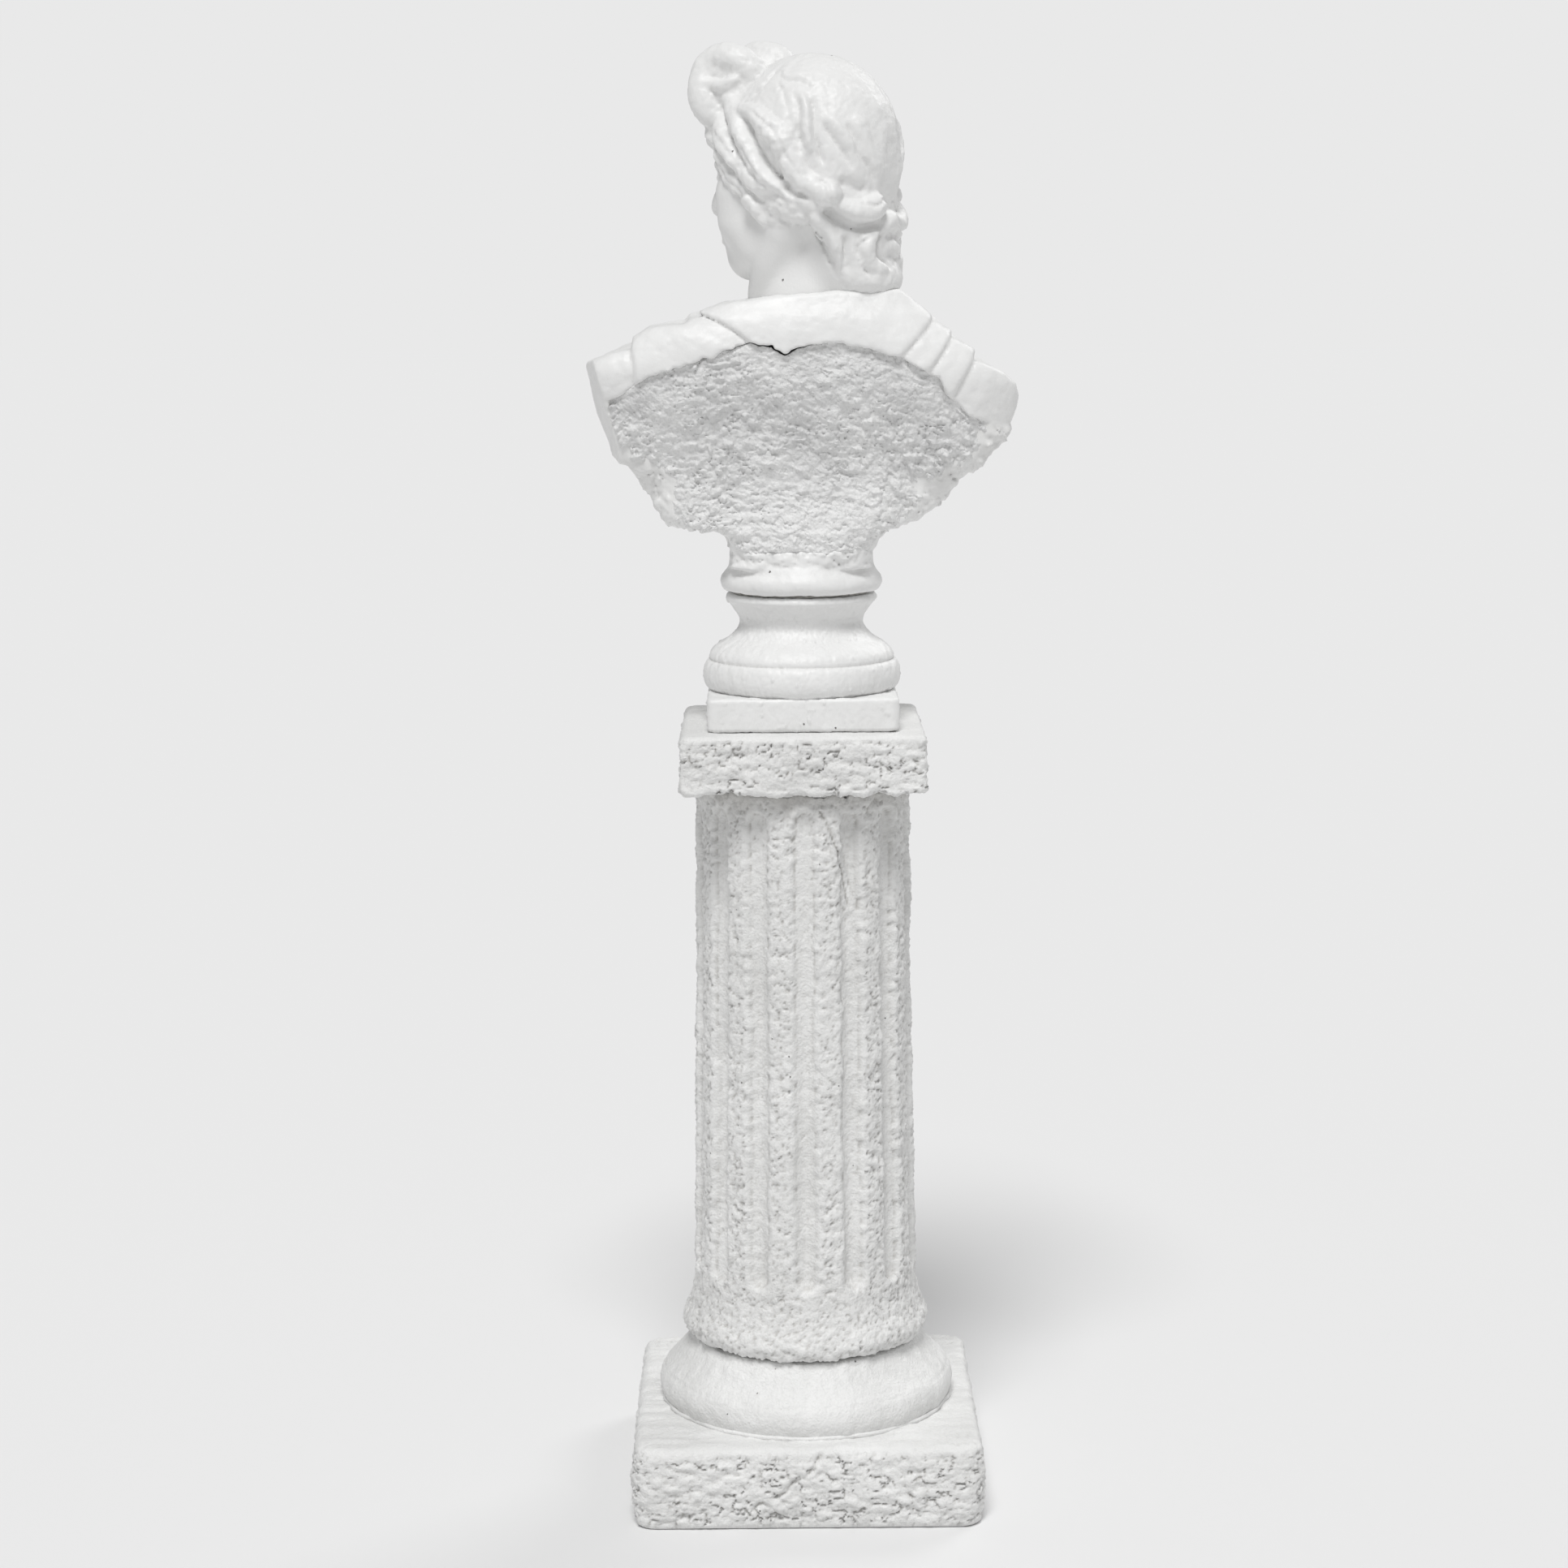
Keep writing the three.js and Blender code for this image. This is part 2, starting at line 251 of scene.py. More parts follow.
def paint(name, light, shade, hollow_shade, grain, brush, gloss, holes):
    """White paint over a casting: its colour, in random patches of a paler and a darker tone, and darkened
    towards a darker colour by painted shade in its hollows and shadowed places. grain and brush are bump
    heights, gloss the roughness, and holes the share of cells with an air hole."""
    material, tree, shader = new_material(name)
    patches = mapped_noise(tree, 28, 5)
    colour = ramp(tree, patches, [(0.3, shade), (0.62, light)])
    # Painted shade: where the hollow attribute is high, the colour darkens towards a darker paint colour.
    hollow = node_of(tree, "ShaderNodeAttribute", attribute_name="hollow").outputs["Fac"]
    colour = mixed(tree, hollow, colour, solid_colour(tree, hollow_shade))
    pits = pinholes(tree, scale=150, share=holes, radius=0.075)
    # The air holes are coloured near black: painted shade inside holes that are only bumped, not cut.
    colour = mixed(tree, pits, colour, solid_colour(tree, (0.2, 0.19, 0.18)))
    span = {"Value": mapped_noise(tree, 160, 3), "To Min": gloss - 0.08, "To Max": gloss + 0.12}
    rough = node_of(tree, "ShaderNodeMapRange", span).outputs["Result"]
    normal = bumped(tree, mapped_noise(tree, 900, 3), 0.6, grain * MM)
    strokes = mapped_noise(tree, 260, 3, (1.6, 1.6, 0.3))
    normal = bumped(tree, strokes, 0.5, brush * MM, normal)
    normal = bumped(tree, multiplied(tree, pits, -1), 1.0, 0.5 * MM, normal)
    looks = {"Base Color": colour, "Roughness": rough, "Specular IOR Level": 0.45, "Normal": normal}
    fill_inputs(tree, shader, looks)
    return material


def steel_bar():
    material, tree, shader = new_material("steel_bar")
    patches = mapped_noise(tree, 300, 6, (1, 1, 0.2))
    stops = [(0.35, (0.16, 0.15, 0.14)), (0.6, (0.4, 0.4, 0.41)), (0.8, (0.3, 0.17, 0.09))]
    fill_inputs(tree, shader, {
        "Base Color": ramp(tree, patches, stops),
        "Metallic": 0.9,
        "Roughness": ramp(tree, patches, [(0, (0.3,) * 3), (1, (0.7,) * 3)]),
        "Normal": bumped(tree, mapped_noise(tree, 2500, 2), 0.4, 0.1 * MM),
    })
    return material


def bare_mortar():
    material, tree, shader = new_material("bare_mortar")
    sand = mapped_noise(tree, 700, 6)
    fill_inputs(tree, shader, {
        "Base Color": ramp(tree, sand, [(0.3, (0.33, 0.32, 0.3)), (0.7, (0.6, 0.59, 0.56))]),
        "Roughness": ramp(tree, sand, [(0, (0.8,) * 3), (1, (0.95,) * 3)]),
        "Normal": bumped(tree, sand, 0.8, 0.3 * MM),
    })
    return material


# Each paint's third colour is the painted shade of its hollows and shadowed places.
STONE_PAINT = paint("stone_paint", light=(0.82, 0.82, 0.812), shade=(0.74, 0.74, 0.73),
                    hollow_shade=(0.54, 0.53, 0.51), grain=0.9, brush=0.1, gloss=0.5, holes=0.22)
SMOOTH_PAINT = paint("smooth_paint", light=(0.83, 0.83, 0.824), shade=(0.79, 0.79, 0.784),
                     hollow_shade=(0.6, 0.595, 0.58), grain=0.16, brush=0.22, gloss=0.45, holes=0.12)
FILL_PAINT = paint("fill_paint", light=(0.81, 0.81, 0.805), shade=(0.77, 0.77, 0.765),
                   hollow_shade=(0.54, 0.54, 0.54), grain=1.1, brush=0.12, gloss=0.46, holes=0.2)
STEEL = steel_bar()
MORTAR = bare_mortar()


# ---- Meshes ----

def made(name, vertices, faces, material, body, slot, *nodes):
    """A mesh object from millimetres, riding on a body in place of CAD nodes."""
    mesh = bpy.data.meshes.new(name)
    mesh.from_pydata((vertices * MM).tolist(), [], faces.tolist())
    mesh.validate()
    mesh.shade_smooth()
    mesh.materials.append(material)
    piece = bpy.data.objects.new(name, mesh)
    bpy.context.scene.collection.objects.link(piece)
    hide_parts(*nodes)
    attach(piece, body)
    return piece


def mark_hollows(piece, reach, full, painted_shade=None):
    """Stores how deep in a hollow each vertex lies, as the attribute the paint reads to darken it: painted
    shade. The last argument, a function of points, gives painted shade that lies there in any case, such as
    a shadow."""
    mesh = piece.data
    count = len(mesh.vertices)
    at = np.empty(count * 3)
    mesh.vertices.foreach_get("co", at)
    at = at.reshape(-1, 3) / MM
    out = np.empty(count * 3)
    mesh.vertices.foreach_get("normal", out)
    out = out.reshape(-1, 3)
    pairs = np.empty(len(mesh.edges) * 2, int)
    mesh.edges.foreach_get("vertices", pairs)
    a, b = pairs.reshape(-1, 2).T
    links = np.bincount(np.concatenate([a, b]), minlength=count)
    spread = at
    for _ in range(reach):
        total = np.stack(
            [np.bincount(a, spread[b, i], count) + np.bincount(b, spread[a, i], count) for i in range(3)],
            axis=1,
        )
        spread = (spread + total) / (links + 1)[:, None]
    depth = ((spread - at) * out).sum(axis=1)
    # Painted shade: the deeper a vertex lies in a hollow, the darker its paint.
    hollow = np.clip(depth / full, 0, 1) ** 1.5
    if painted_shade:
        hollow = np.maximum(hollow, painted_shade(at))
    attribute = mesh.attributes.new("hollow", "FLOAT", "POINT")
    attribute.data.foreach_set("value", hollow.astype(np.float32))


BORE = 4.5  # the radius of the hole that the column's rod and the dowels go through


def circle(radius):
    return lambda angle: np.full(len(angle), float(radius))


def square(half, corner):
    """The reach of a square with round corners in each direction."""
    def reach(angle):
        c, s = np.abs(np.cos(angle)), np.abs(np.sin(angle))
        wide, narrow = np.maximum(c, s), np.minimum(c, s)
        straight = half / wide
        inner = half - corner
        dot = inner * (wide + narrow)
        root = np.maximum(dot * dot - 2 * inner * inner + corner * corner, 0)
        return np.where(straight * narrow <= inner, straight, dot + np.sqrt(root))
    return reach


def blend(outer, inner, t):
    return lambda angle: outer(angle) * (1 - t) + inner(angle) * t


def ring_stack(levels, around):
    """Rings of points from (outline, z) levels, which go up the outside and back down the bore."""
    angle = np.arange(around) * 2 * math.pi / around
    rings = []
    for outline, z in levels:
        reach = outline(angle)
        rings.append(np.stack([reach * np.cos(angle), reach * np.sin(angle), np.full(around, z)], axis=1))
    return np.array(rings)


def ring_normals(rings):
    round_way = np.roll(rings, -1, axis=1) - np.roll(rings, 1, axis=1)
    up_way = np.roll(rings, -1, axis=0) - np.roll(rings, 1, axis=0)
    normals = np.cross(round_way, up_way)
    return normals / np.maximum(np.linalg.norm(normals, axis=2, keepdims=True), 1e-9)


def ring_faces(count, around):
    a = np.arange(count * around).reshape(count, around)
    right, above = np.roll(a, -1, axis=1), np.roll(a, -1, axis=0)
    return np.stack([a, right, np.roll(right, -1, axis=0), above], axis=2).reshape(-1, 4)


def roughened(rings, inside, relief):
    """Moves the outer rings along their normals by relief(points); the last few, inside, stay plain."""
    normals = ring_normals(rings)
    outer = len(rings) - inside
    points = rings[:outer].reshape(-1, 3)
    height = relief(points)
    moved = points + height[:, None] * normals[:outer].reshape(-1, 3)
    rings = rings.copy()
    rings[:outer] = moved.reshape(outer, -1, 3)
    return rings


def bored(levels, high, low, radius=BORE):
    """Adds the rings of a hole down the middle, from high to low, and counts them."""
    rim, wall = circle(radius + 6), circle(radius)
    hole = [(rim, high), (wall, high), (wall, low), (rim, low)]
    return levels + hole, len(hole)


def turned(profile):
    return [(circle(r), z) for r, z in profile]


def finish_rings(name, rings, material, body, slot, node, painted_shade=None):
    faces = ring_faces(*rings.shape[:2])
    piece = made(name, rings.reshape(-1, 3), faces, material, body, slot, node)
    # The hollows get painted shade, together with any shadow passed in.
    mark_hollows(piece, 3, 0.5, painted_shade)
    return piece


# ---- Column ----

def sandy(points, size, height, seed):
    """The relief of coarse sand under paint: packed grains, broken up by waves."""
    bend = noise(points, 6, seed + 9)[:, None] * 1.2
    grains = domes(points + bend, size, seed)
    fine = domes(points - bend, np.asarray(size) * 0.5, seed + 4)
    patch = 0.8 + 0.3 * noise(points, 12, seed + 20)
    return height * (patch * (grains - 0.6) + 0.5 * (fine - 0.6) + 0.16 * noise(points, 9, seed + 30))


def creased(points, size, depth, seed):
    """Sharp broken cracks, between flat lumps that lie over each other."""
    wave = layers(points, size, seed, 3)
    broken = np.clip(layers(points, np.asarray(size) * 1.3, seed + 5, 2) + 0.6, 0, 1)
    lumps = 0.35 * depth * layers(points, size, seed + 8, 2)
    return lumps - depth * broken * bump_shape(wave + 0.1, 0.15)


def base_plinth():
    low, high = low_high("base_plinth")
    half = half_width("base_plinth")
    face, corner, edge = half - 1.4, 9, 3.5
    side = [(square(face + 1.2 * math.sin(math.pi * t), corner), low + 2 + t * (high - low - 2 - edge))
            for t in np.linspace(0, 1, 46)]
    curve = [(square(face - edge * (1 - math.cos(a)), corner - 2 * a), high - edge * (1 - math.sin(a)))
             for a in np.linspace(0, math.pi / 2, 6)[1:]]
    top = [(blend(square(face - edge, 7), circle(40), t), high) for t in np.linspace(0, 1, 44)[1:]]
    levels, inside = bored(side + curve + top, high, low)
    foot = [(square(30, 8), low), (square(half - 3.2, 9), low), (square(half - 1.9, 9), low + 0.5)]
    rings = ring_stack(levels + foot, around=820)

    def relief(p):
        flank = np.clip((high - 2 - p[:, 2]) / 1.5, 0, 1)
        coarse = sandy(p, (2.8, 2.8, 1.8), 1.1, 11) + creased(p, (5.6, 5.6, 3), 1.6, 17)
        coarse -= 1.2 * np.clip(1 - (p[:, 2] - low) / 3, 0, 1) * np.clip(layers(p, 6, 19), 0, 1)
        smooth = sandy(p, 2.6, 0.45, 23) + 0.4 * layers(p, (14, 5, 9), 25, 2)
        rear_corner = np.clip((p[:, 0] ** 2 + p[:, 1] ** 2) ** 0.5 / 90 - 0.8, 0, 0.3) / 0.3
        height = flank * coarse + (1 - flank) * (smooth + rear_corner * sandy(p, 2.2, 1.2, 29))
        crack = [(-4, 71.6, 31), (-2, 71.9, 26), (2, 71.9, 23), (8, 71.9, 18), (15, 71.9, 14), (21, 71.9, 9)]
        crack = spaced(crack, 1.5)
        away, _ = line_distance(p, crack + 1.2 * wobble(crack))
        height -= 2.0 * bump_shape(away, 1.0)
        run = [(-14, 69, 33.6), (-15, 71.4, 30), (-17, 71.9, 25)]
        away, _ = line_distance(p, run)
        return height + 1.1 * bump_shape(away, 4.2) * np.clip(1.6 - away / 6, 0, 1)

    rings = roughened(rings, inside + len(foot), relief)
    return finish_rings("base_plinth_stone", rings, STONE_PAINT, "column", "cast_stone", "base_plinth")


def base_moulding():
    low, high = low_high("base_moulding")
    lip_at = low + 12.2
    foot = [(60.2, low), (61.6, low + 2.5), (62.2, low + 6), (61.6, low + 9.5), (60.3, low + 12)]
    cove = [(59.9, low + 12.5), (57.6, 49.8), (54.2, 53.2), (51.2, 57), (49, 60.4), (48.2, high)]
    outside = np.vstack([spaced(smooth_line(line), 0.7) for line in (foot, cove)])
    levels, inside = bored(turned(outside), high, low)
    rings = ring_stack(levels, around=520)

    def relief(p):
        brushed = 0.25 * layers(p, (4, 4, 8), 31) + sandy(p, 2.2, 0.4, 33)
        lip = bump_shape(p[:, 2] - lip_at, 0.5) * (0.35 + 0.25 * noise(p, 12, 36))
        bead = bump_shape(p[:, 2] - low, 1.1) * 0.5
        return brushed - lip + bead

    rings = roughened(rings, inside, relief)
    return finish_rings("base_moulding_stone", rings, STONE_PAINT, "column", "cast_stone", "base_moulding")


FLUTES = 14
FLUTE = {"low": 96.5, "high": 287, "half": 4.3, "depth": 4.6}


def flute_depth(p):
    """How deep each point of the shaft lies in a flute. One flute is centred on the back."""
    pitch = 2 * math.pi / FLUTES
    angle = np.arctan2(p[:, 1], p[:, 0]) - math.pi / 2
    off = (angle + pitch / 2) % pitch - pitch / 2
    across = off * np.hypot(p[:, 0], p[:, 1])
    middle = (FLUTE["low"] + FLUTE["high"]) / 2
    reach = (FLUTE["high"] - FLUTE["low"]) / 2
    beyond = np.maximum(np.abs(p[:, 2] - middle) - reach, 0)
    ragged = 1 + 0.1 * noise(p, 7, 41) + 0.12 * noise(p, 2.6, 42)
    share = np.hypot(across, beyond) / (FLUTE["half"] * ragged)
    hollow = FLUTE["depth"] * np.sqrt(np.clip(1 - share**2, 0, 1)) * (0.85 + 0.2 * noise(p, (9, 9, 30), 43))
    return hollow + 1.2 * bump_shape(share - 1.02, 0.18)


def shaft():
    low, high = low_high("shaft")
    ring = smooth_line([(47.2, low), (49.9, low + 1), (51.4, low + 4), (51.3, low + 7), (49.9, low + 10.5)])
    body = smooth_line([(49.4, 74.6), (48.2, 77.5), (47.1, 83), (46.5, 90), (45.7, 140), (44.9, 190),
                        (44.2, 240), (44.1, 290), (44.1, high)], 8)
    outside = np.vstack([spaced(ring, 0.8), spaced(body, 0.86)])
    levels, inside = bored(turned(outside), high, low)
    rings = ring_stack(levels, around=336)

    def relief(p):
        flute = flute_depth(p)
        coarse = sandy(p, (2.3, 2.3, 2.3), 1.6, 51) + creased(p, (4, 4, 3.6), 0.75, 57)
        height = coarse * (1 - 0.6 * np.clip(flute / 2, 0, 1)) - flute
        seam = spaced([(-7, 44, 292), (-11, 43, 283), (-16, 41, 268), (-20, 40, 252)], 1.5)
        away, _ = line_distance(p, seam + 0.5 * wobble(seam))
        height += 1.0 * bump_shape(away - 1.4, 1.1) - 1.0 * bump_shape(away, 0.6)
        under_cap = np.clip((p[:, 2] - 291) / 8, 0, 1)
        height += under_cap * 0.9 * layers(p, 7, 61)
        ring_wear = bump_shape(p[:, 2] - low - 4, 7) * 0.35 * layers(p, (8, 8, 4), 63)
        return height + ring_wear

    # Painted shadow under the abacus's overhang, darkest at the top of the shaft.
    def shadow_under_abacus(p):
        return 0.9 * np.clip((p[:, 2] - 290 - 2.5 * noise(p, 6, 65)) / 9, 0, 1)

    rings = roughened(rings, inside, relief)
    return finish_rings("shaft_stone", rings, STONE_PAINT, "column", "cast_stone", "shaft", shadow_under_abacus)


def abacus():
    low, high = low_high("abacus")
    half = half_width("abacus")
    face, corner, edge = half - 0.6, 3.5, 2.5
    under = [(blend(circle(42), square(half - 1.5, 3), t), low + 0.4) for t in np.linspace(0, 1, 14)]
    side = [(square(face, corner), z) for z in np.linspace(low + 1.2, high - edge, 30)]
    curve = [(square(face - edge * (1 - math.cos(a)), corner), high - edge * (1 - math.sin(a)))
             for a in np.linspace(0, math.pi / 2, 5)[1:]]
    top = [(blend(square(face - edge, 3), circle(24), t), high) for t in np.linspace(0, 1, 34)[1:]]
    levels, inside = bored(under + side + curve + top, high, low)
    rings = ring_stack(levels, around=640)

    def relief(p):
        flank = np.clip((high - 1.5 - p[:, 2]) / 1.2, 0, 1)
        coarse = sandy(p, (2.8, 2.8, 1.8), 1.0, 71) + creased(p, (5.4, 5.4, 2.8), 1.55, 77)
        ragged = np.clip((low + 4 - p[:, 2]) / 4, 0, 1) * 0.9 * layers(p, 6, 81)
        return flank * (coarse + ragged) + (1 - flank) * sandy(p, 2.6, 0.35, 83)

    rings = roughened(rings, inside, relief)
    return finish_rings("abacus_stone", rings, STONE_PAINT, "column", "cast_stone", "abacus")


def joint_bed(node, radius, body, hole=4.6, painted=False):
    """A squeezed-out bed of mortar or plaster, with a ragged edge. Paint thickens it to a bead."""
    low, high = low_high(node)
    swell = 0.7 if painted else 0
    inner, shoulder = circle(radius - 2), circle(radius - 0.5)
    edge = [(inner, low), (shoulder, low - swell), (circle(radius), (low + high) / 2),
            (shoulder, high + swell), (inner, high)]
    levels, _ = bored(edge, high, low, hole)
    rings = ring_stack(levels, around=180)
    spill = noise(rings[2], 6, 91) * 0.5
    outward = rings[1:4] / np.linalg.norm(rings[1:4, :, :2], axis=2)[..., None]
    rings[1:4, :, :2] += (spill[:, None] * outward)[..., :2]
    material = STONE_PAINT if painted else MORTAR
    return finish_rings(node + "_bed", rings, material, body, "mortar", node)


# ---- Socle ----

def socle():
    low, high = low_high("socle")
    foot_top = 337.5
    half = 38.6
    side = [(square(half, 3.2), z) for z in np.linspace(low + 1, foot_top - 1, 18)]
    side = [(square(half - 1, 3), low), *side, (square(half - 0.4, 3), foot_top - 0.3)]
    top = [(blend(square(half - 1, 3), circle(37.6), t), foot_top) for t in np.linspace(0, 1, 10)]
    torus = smooth_line([(37.8, 338), (39.6, 339.4), (40.5, 342), (40.6, 344.6), (40, 347.6), (38.6, 350)])
    step = smooth_line([
        (38.1, 350.4), (37.9, 352), (36.9, 353.8), (34.6, 356), (31.2, 358.1), (28.4, 360.2),
        (26.3, 362.6), (25.3, 365.2), (25.9, 368), (27.7, 370.8), (29.6, 373.4),
    ])
    bead = smooth_line([(30.1, 373.9), (31, 374.8), (30.8, 376.2), (29.9, high)])
    outside = np.vstack([spaced(torus, 0.6), spaced(step, 0.6), spaced(bead, 0.5)])
    levels, inside = bored(side + top + turned(outside), high, low)
    rings = ring_stack(levels, around=560)

    def relief(p):
        skin = 0.16 * layers(p, (3, 3, 7), 101) + sandy(p, 1.8, 0.3, 103)
        specks = 0.5 * np.clip(layers(p, 2.4, 107, 2) - 1.05, 0, 0.4) / 0.4
        groove = bump_shape(p[:, 2] - 350.2, 0.45) * 0.45
        paint_line = bump_shape(p[:, 2] - 337.9, 0.7) * 0.5 * (0.6 + 0.5 * noise(p, 5, 109))
        return skin + specks - groove + paint_line

    rings = roughened(rings, inside, relief)
    return finish_rings("socle_plaster_cast", rings, SMOOTH_PAINT, "bust", "plaster", "socle")


# ---- Clay ----

class Clay:
    """A block of distances to a surface, below 0 inside it, that shapes are added to and cut from."""

    def __init__(self, low, high, cell):
        self.low = np.array(low, float)
        self.cell = cell
        self.axes = [np.arange(a, b, cell) for a, b in zip(low, high)]
        self.field = np.full([len(a) for a in self.axes], FAR, np.float32)

    def window(self, low, high):
        """The slices and coordinates of the part of the block between two corners."""
        cut = []
        for axis, a, b in zip(self.axes, low, high):
            first, last = np.searchsorted(axis, [a, b])
            cut.append(slice(max(first - 1, 0), min(last + 1, len(axis))))
        return tuple(cut), np.ix_(*[axis[c] for axis, c in zip(self.axes, cut)])

    def everywhere(self):
        return np.ix_(*self.axes)

    def apply(self, low, high, shape, soft, cutting=False):
        """Adds or cuts a shape, given as a function of x, y and z, with a soft edge of that width."""
        cut, (x, y, z) = self.window(np.array(low) - soft - self.cell, np.array(high) + soft + self.cell)
        old = self.field[cut]
        new = shape(x, y, z).astype(np.float32)
        if cutting:
            self.field[cut] = -soft_min(-old, new, soft)
        else:
            self.field[cut] = soft_min(old, new, soft)

    def ball(self, centre, radii, soft, cutting=False):
        """An egg shape, with a radius for each axis."""
        c, r = np.array(centre, float), np.array(radii, float)
        reach = r.max()

        def shape(x, y, z):
            dx, dy, dz = x - c[0], y - c[1], z - c[2]
            k0 = np.sqrt((dx / r[0]) ** 2 + (dy / r[1]) ** 2 + (dz / r[2]) ** 2)
            k1 = np.sqrt((dx / r[0] ** 2) ** 2 + (dy / r[1] ** 2) ** 2 + (dz / r[2] ** 2) ** 2)
            return k0 * (k0 - 1) / np.maximum(k1, 1e-6)

        self.apply(c - reach, c + reach, shape, soft, cutting)

    def strand(self, points, radii, soft, cutting=False):
        """A rope of clay along a line. Radii are given from end to end."""
        line = np.asarray(points, float)
        along = np.linspace(0, 1, len(line))
        thick = np.interp(along, np.linspace(0, 1, len(radii)), radii)
        for i in range(len(line) - 1):
            a, b, ra, rb = line[i], line[i + 1], thick[i], thick[i + 1]
            reach = max(ra, rb)

            def shape(x, y, z, a=a, b=b, ra=ra, rb=rb):
                way = b - a
                t = ((x - a[0]) * way[0] + (y - a[1]) * way[1] + (z - a[2]) * way[2]) / (way @ way)
                t = np.clip(t, 0, 1)
                dx, dy, dz = x - a[0] - t * way[0], y - a[1] - t * way[1], z - a[2] - t * way[2]
                return np.sqrt(dx * dx + dy * dy + dz * dz) - (ra + (rb - ra) * t)

            self.apply(np.minimum(a, b) - reach, np.maximum(a, b) + reach, shape, soft, cutting)

    def near_surface(self, relief, reach):
        """Raises the surface by relief(points), in the cells within reach of it."""
        close = np.abs(self.field) < reach
        index = np.argwhere(close)
        self.field[close] -= relief(index * self.cell + self.low).astype(np.float32)

    def skin(self):
        grid = openvdb.FloatGrid(FAR)
        grid.copyFromArray(np.clip(self.field, -3, 3))
        points, _, quads = grid.convertToPolygons(isovalue=0.0, adaptivity=0.0)
        return points.astype(float) * self.cell + self.low, quads.astype(int)


def soft_min(a, b, soft):
    if soft <= 0:
        return np.minimum(a, b)
    near = np.maximum(soft - np.abs(a - b), 0) / soft
    return np.minimum(a, b) - near * near * soft / 4


def polygon_distance(x, z, outline):
    """Distance from points of a plane to an outline, below 0 inside it."""
    corners = np.asarray(outline, float)
    best = np.full(np.broadcast(x, z).shape, 1e9)
    inside = np.zeros(best.shape, bool)
    for (ax, az), (bx, bz) in zip(corners, np.roll(corners, -1, axis=0)):
        wx, wz = bx - ax, bz - az
        t = np.clip(((x - ax) * wx + (z - az) * wz) / (wx * wx + wz * wz), 0, 1)
        best = np.minimum(best, (x - ax - t * wx) ** 2 + (z - az - t * wz) ** 2)
        crossing = ((az > z) != (bz > z)) & (x < wx * (z - az) / (bz - az if bz != az else 1e-9) + ax)
        inside ^= crossing
    return np.where(inside, -1, 1) * np.sqrt(best)


# ---- Torso ----

# Sections of the chest: z, and its reach to the right, to the left, to the front and to the back.
CHEST = [
    (388, 29.4, 29.4, 28.5, 27.5), (396, 30.5, 30.5, 29.5, 28.2), (401, 34, 34, 33, 28),
    (405, 42, 50, 37, 27.4), (411, 53, 57.5, 40, 26.6), (424, 64, 66, 43, 25.6), (430, 74, 76, 45, 26),
    (436, 80, 82, 46.5, 27), (446, 86, 85.5, 48, 29.4), (456, 89, 88, 48.5, 32), (464, 89, 90, 47, 34),
    (470, 84, 89, 43.5, 35), (478, 72, 77, 38.5, 35.4), (485, 62, 66, 34, 34.5), (490, 56, 52, 30, 33),
    (495, 50, 38, 27, 30), (503, 44, 27, 25, 27),
]
# The torso's edge seen from behind, clockwise from the collar's left end: steps where the folds end.
EDGE = [
    (31, 495.2), (45, 490.6), (47, 488.2), (60.5, 486.4), (67, 482.2), (68.5, 479.4), (86.8, 471.6),
    (88, 469.6), (84.6, 450), (77.2, 433.4), (74.5, 431.2), (70, 430.6), (66.2, 426), (57.8, 411.6),
    (53.4, 406), (36, 403.6), (31.4, 400.4), (29.6, 395), (29.4, 388), (-29.2, 388), (-29.4, 395),
    (-31.4, 400.4), (-34, 403), (-47, 407.6), (-56, 413.8), (-62.5, 422), (-66.2, 427), (-74, 431.4),
    (-82, 441), (-85.4, 446.4), (-87.6, 452.4), (-88, 457.6), (-86.6, 462.4), (-82, 467), (-71.2, 473.2),
    (-70.6, 476.2), (-62.2, 482.2), (-61.2, 484.4), (-54.6, 489.2), (-40, 500.4), (-13.8, 500),
    (9.7, 498.4),
]
# The upper edge of the rough fill, from the left arm to the right one, where the drapery ends.
FILL_TOP = [
    (77.5, 458), (70.5, 459.5), (66.5, 463.5), (60, 467), (53.6, 468.6), (39.4, 473.4), (28.7, 476.8),
    (20, 479.2), (14, 478.6), (6.4, 474.8), (0, 477.6), (-9, 479), (-17.2, 478.9), (-30.2, 476.2),
    (-37.3, 474.4), (-45, 470.4), (-55, 465.2), (-60.5, 457.6), (-69.2, 449.6), (-82, 446.2),
]
# The rest of the fill's edge: down from the right arm, across above the foot and up to the left arm.
FILL_EDGE = [
    (-80.6, 442.6), (-72, 433.4), (-64.4, 426.4), (-66, 420), (-60, 408), (-46, 402), (-31, 400),
    (-31, 396), (31, 396), (36, 400), (54, 402), (66, 414), (72, 424), (80, 430), (79.5, 436),
    (74.6, 437), (75.6, 443), (77.6, 452),
]
FILL_PLANE = 21.5  # y of the fill's inner face
SEAM = 0.3  # the gap round the neck in its socket
NECK_AT = np.array([-2.0, 0.0, 492.0])
NECK_YAW = math.radians(60)  # how far the head is turned to its left
BAR_TOP = 414.3  # where the hole for the bust's bar ends
NECK_BORE = 3.5  # the radius of the hole for the neck's bar, which starts in the torso and ends in the head
NECK_BAR_LOW = 465.7
NECK_BAR_TOP = 24.3  # in the head's own frame

CHEST_ROWS = smooth_line(CHEST, 8)
SQUARE_OFF = 3.1  # 2 is an ellipse, more is squarer
SPARE = 3.0  # the chest is this much too wide, and its edge is then cut to shape


def chest_reach(z):
    """The chest's reach to the right, to the left, to the front and to the back at each height."""
    return [np.interp(z, CHEST_ROWS[:, 0], CHEST_ROWS[:, i]) for i in range(1, 5)]


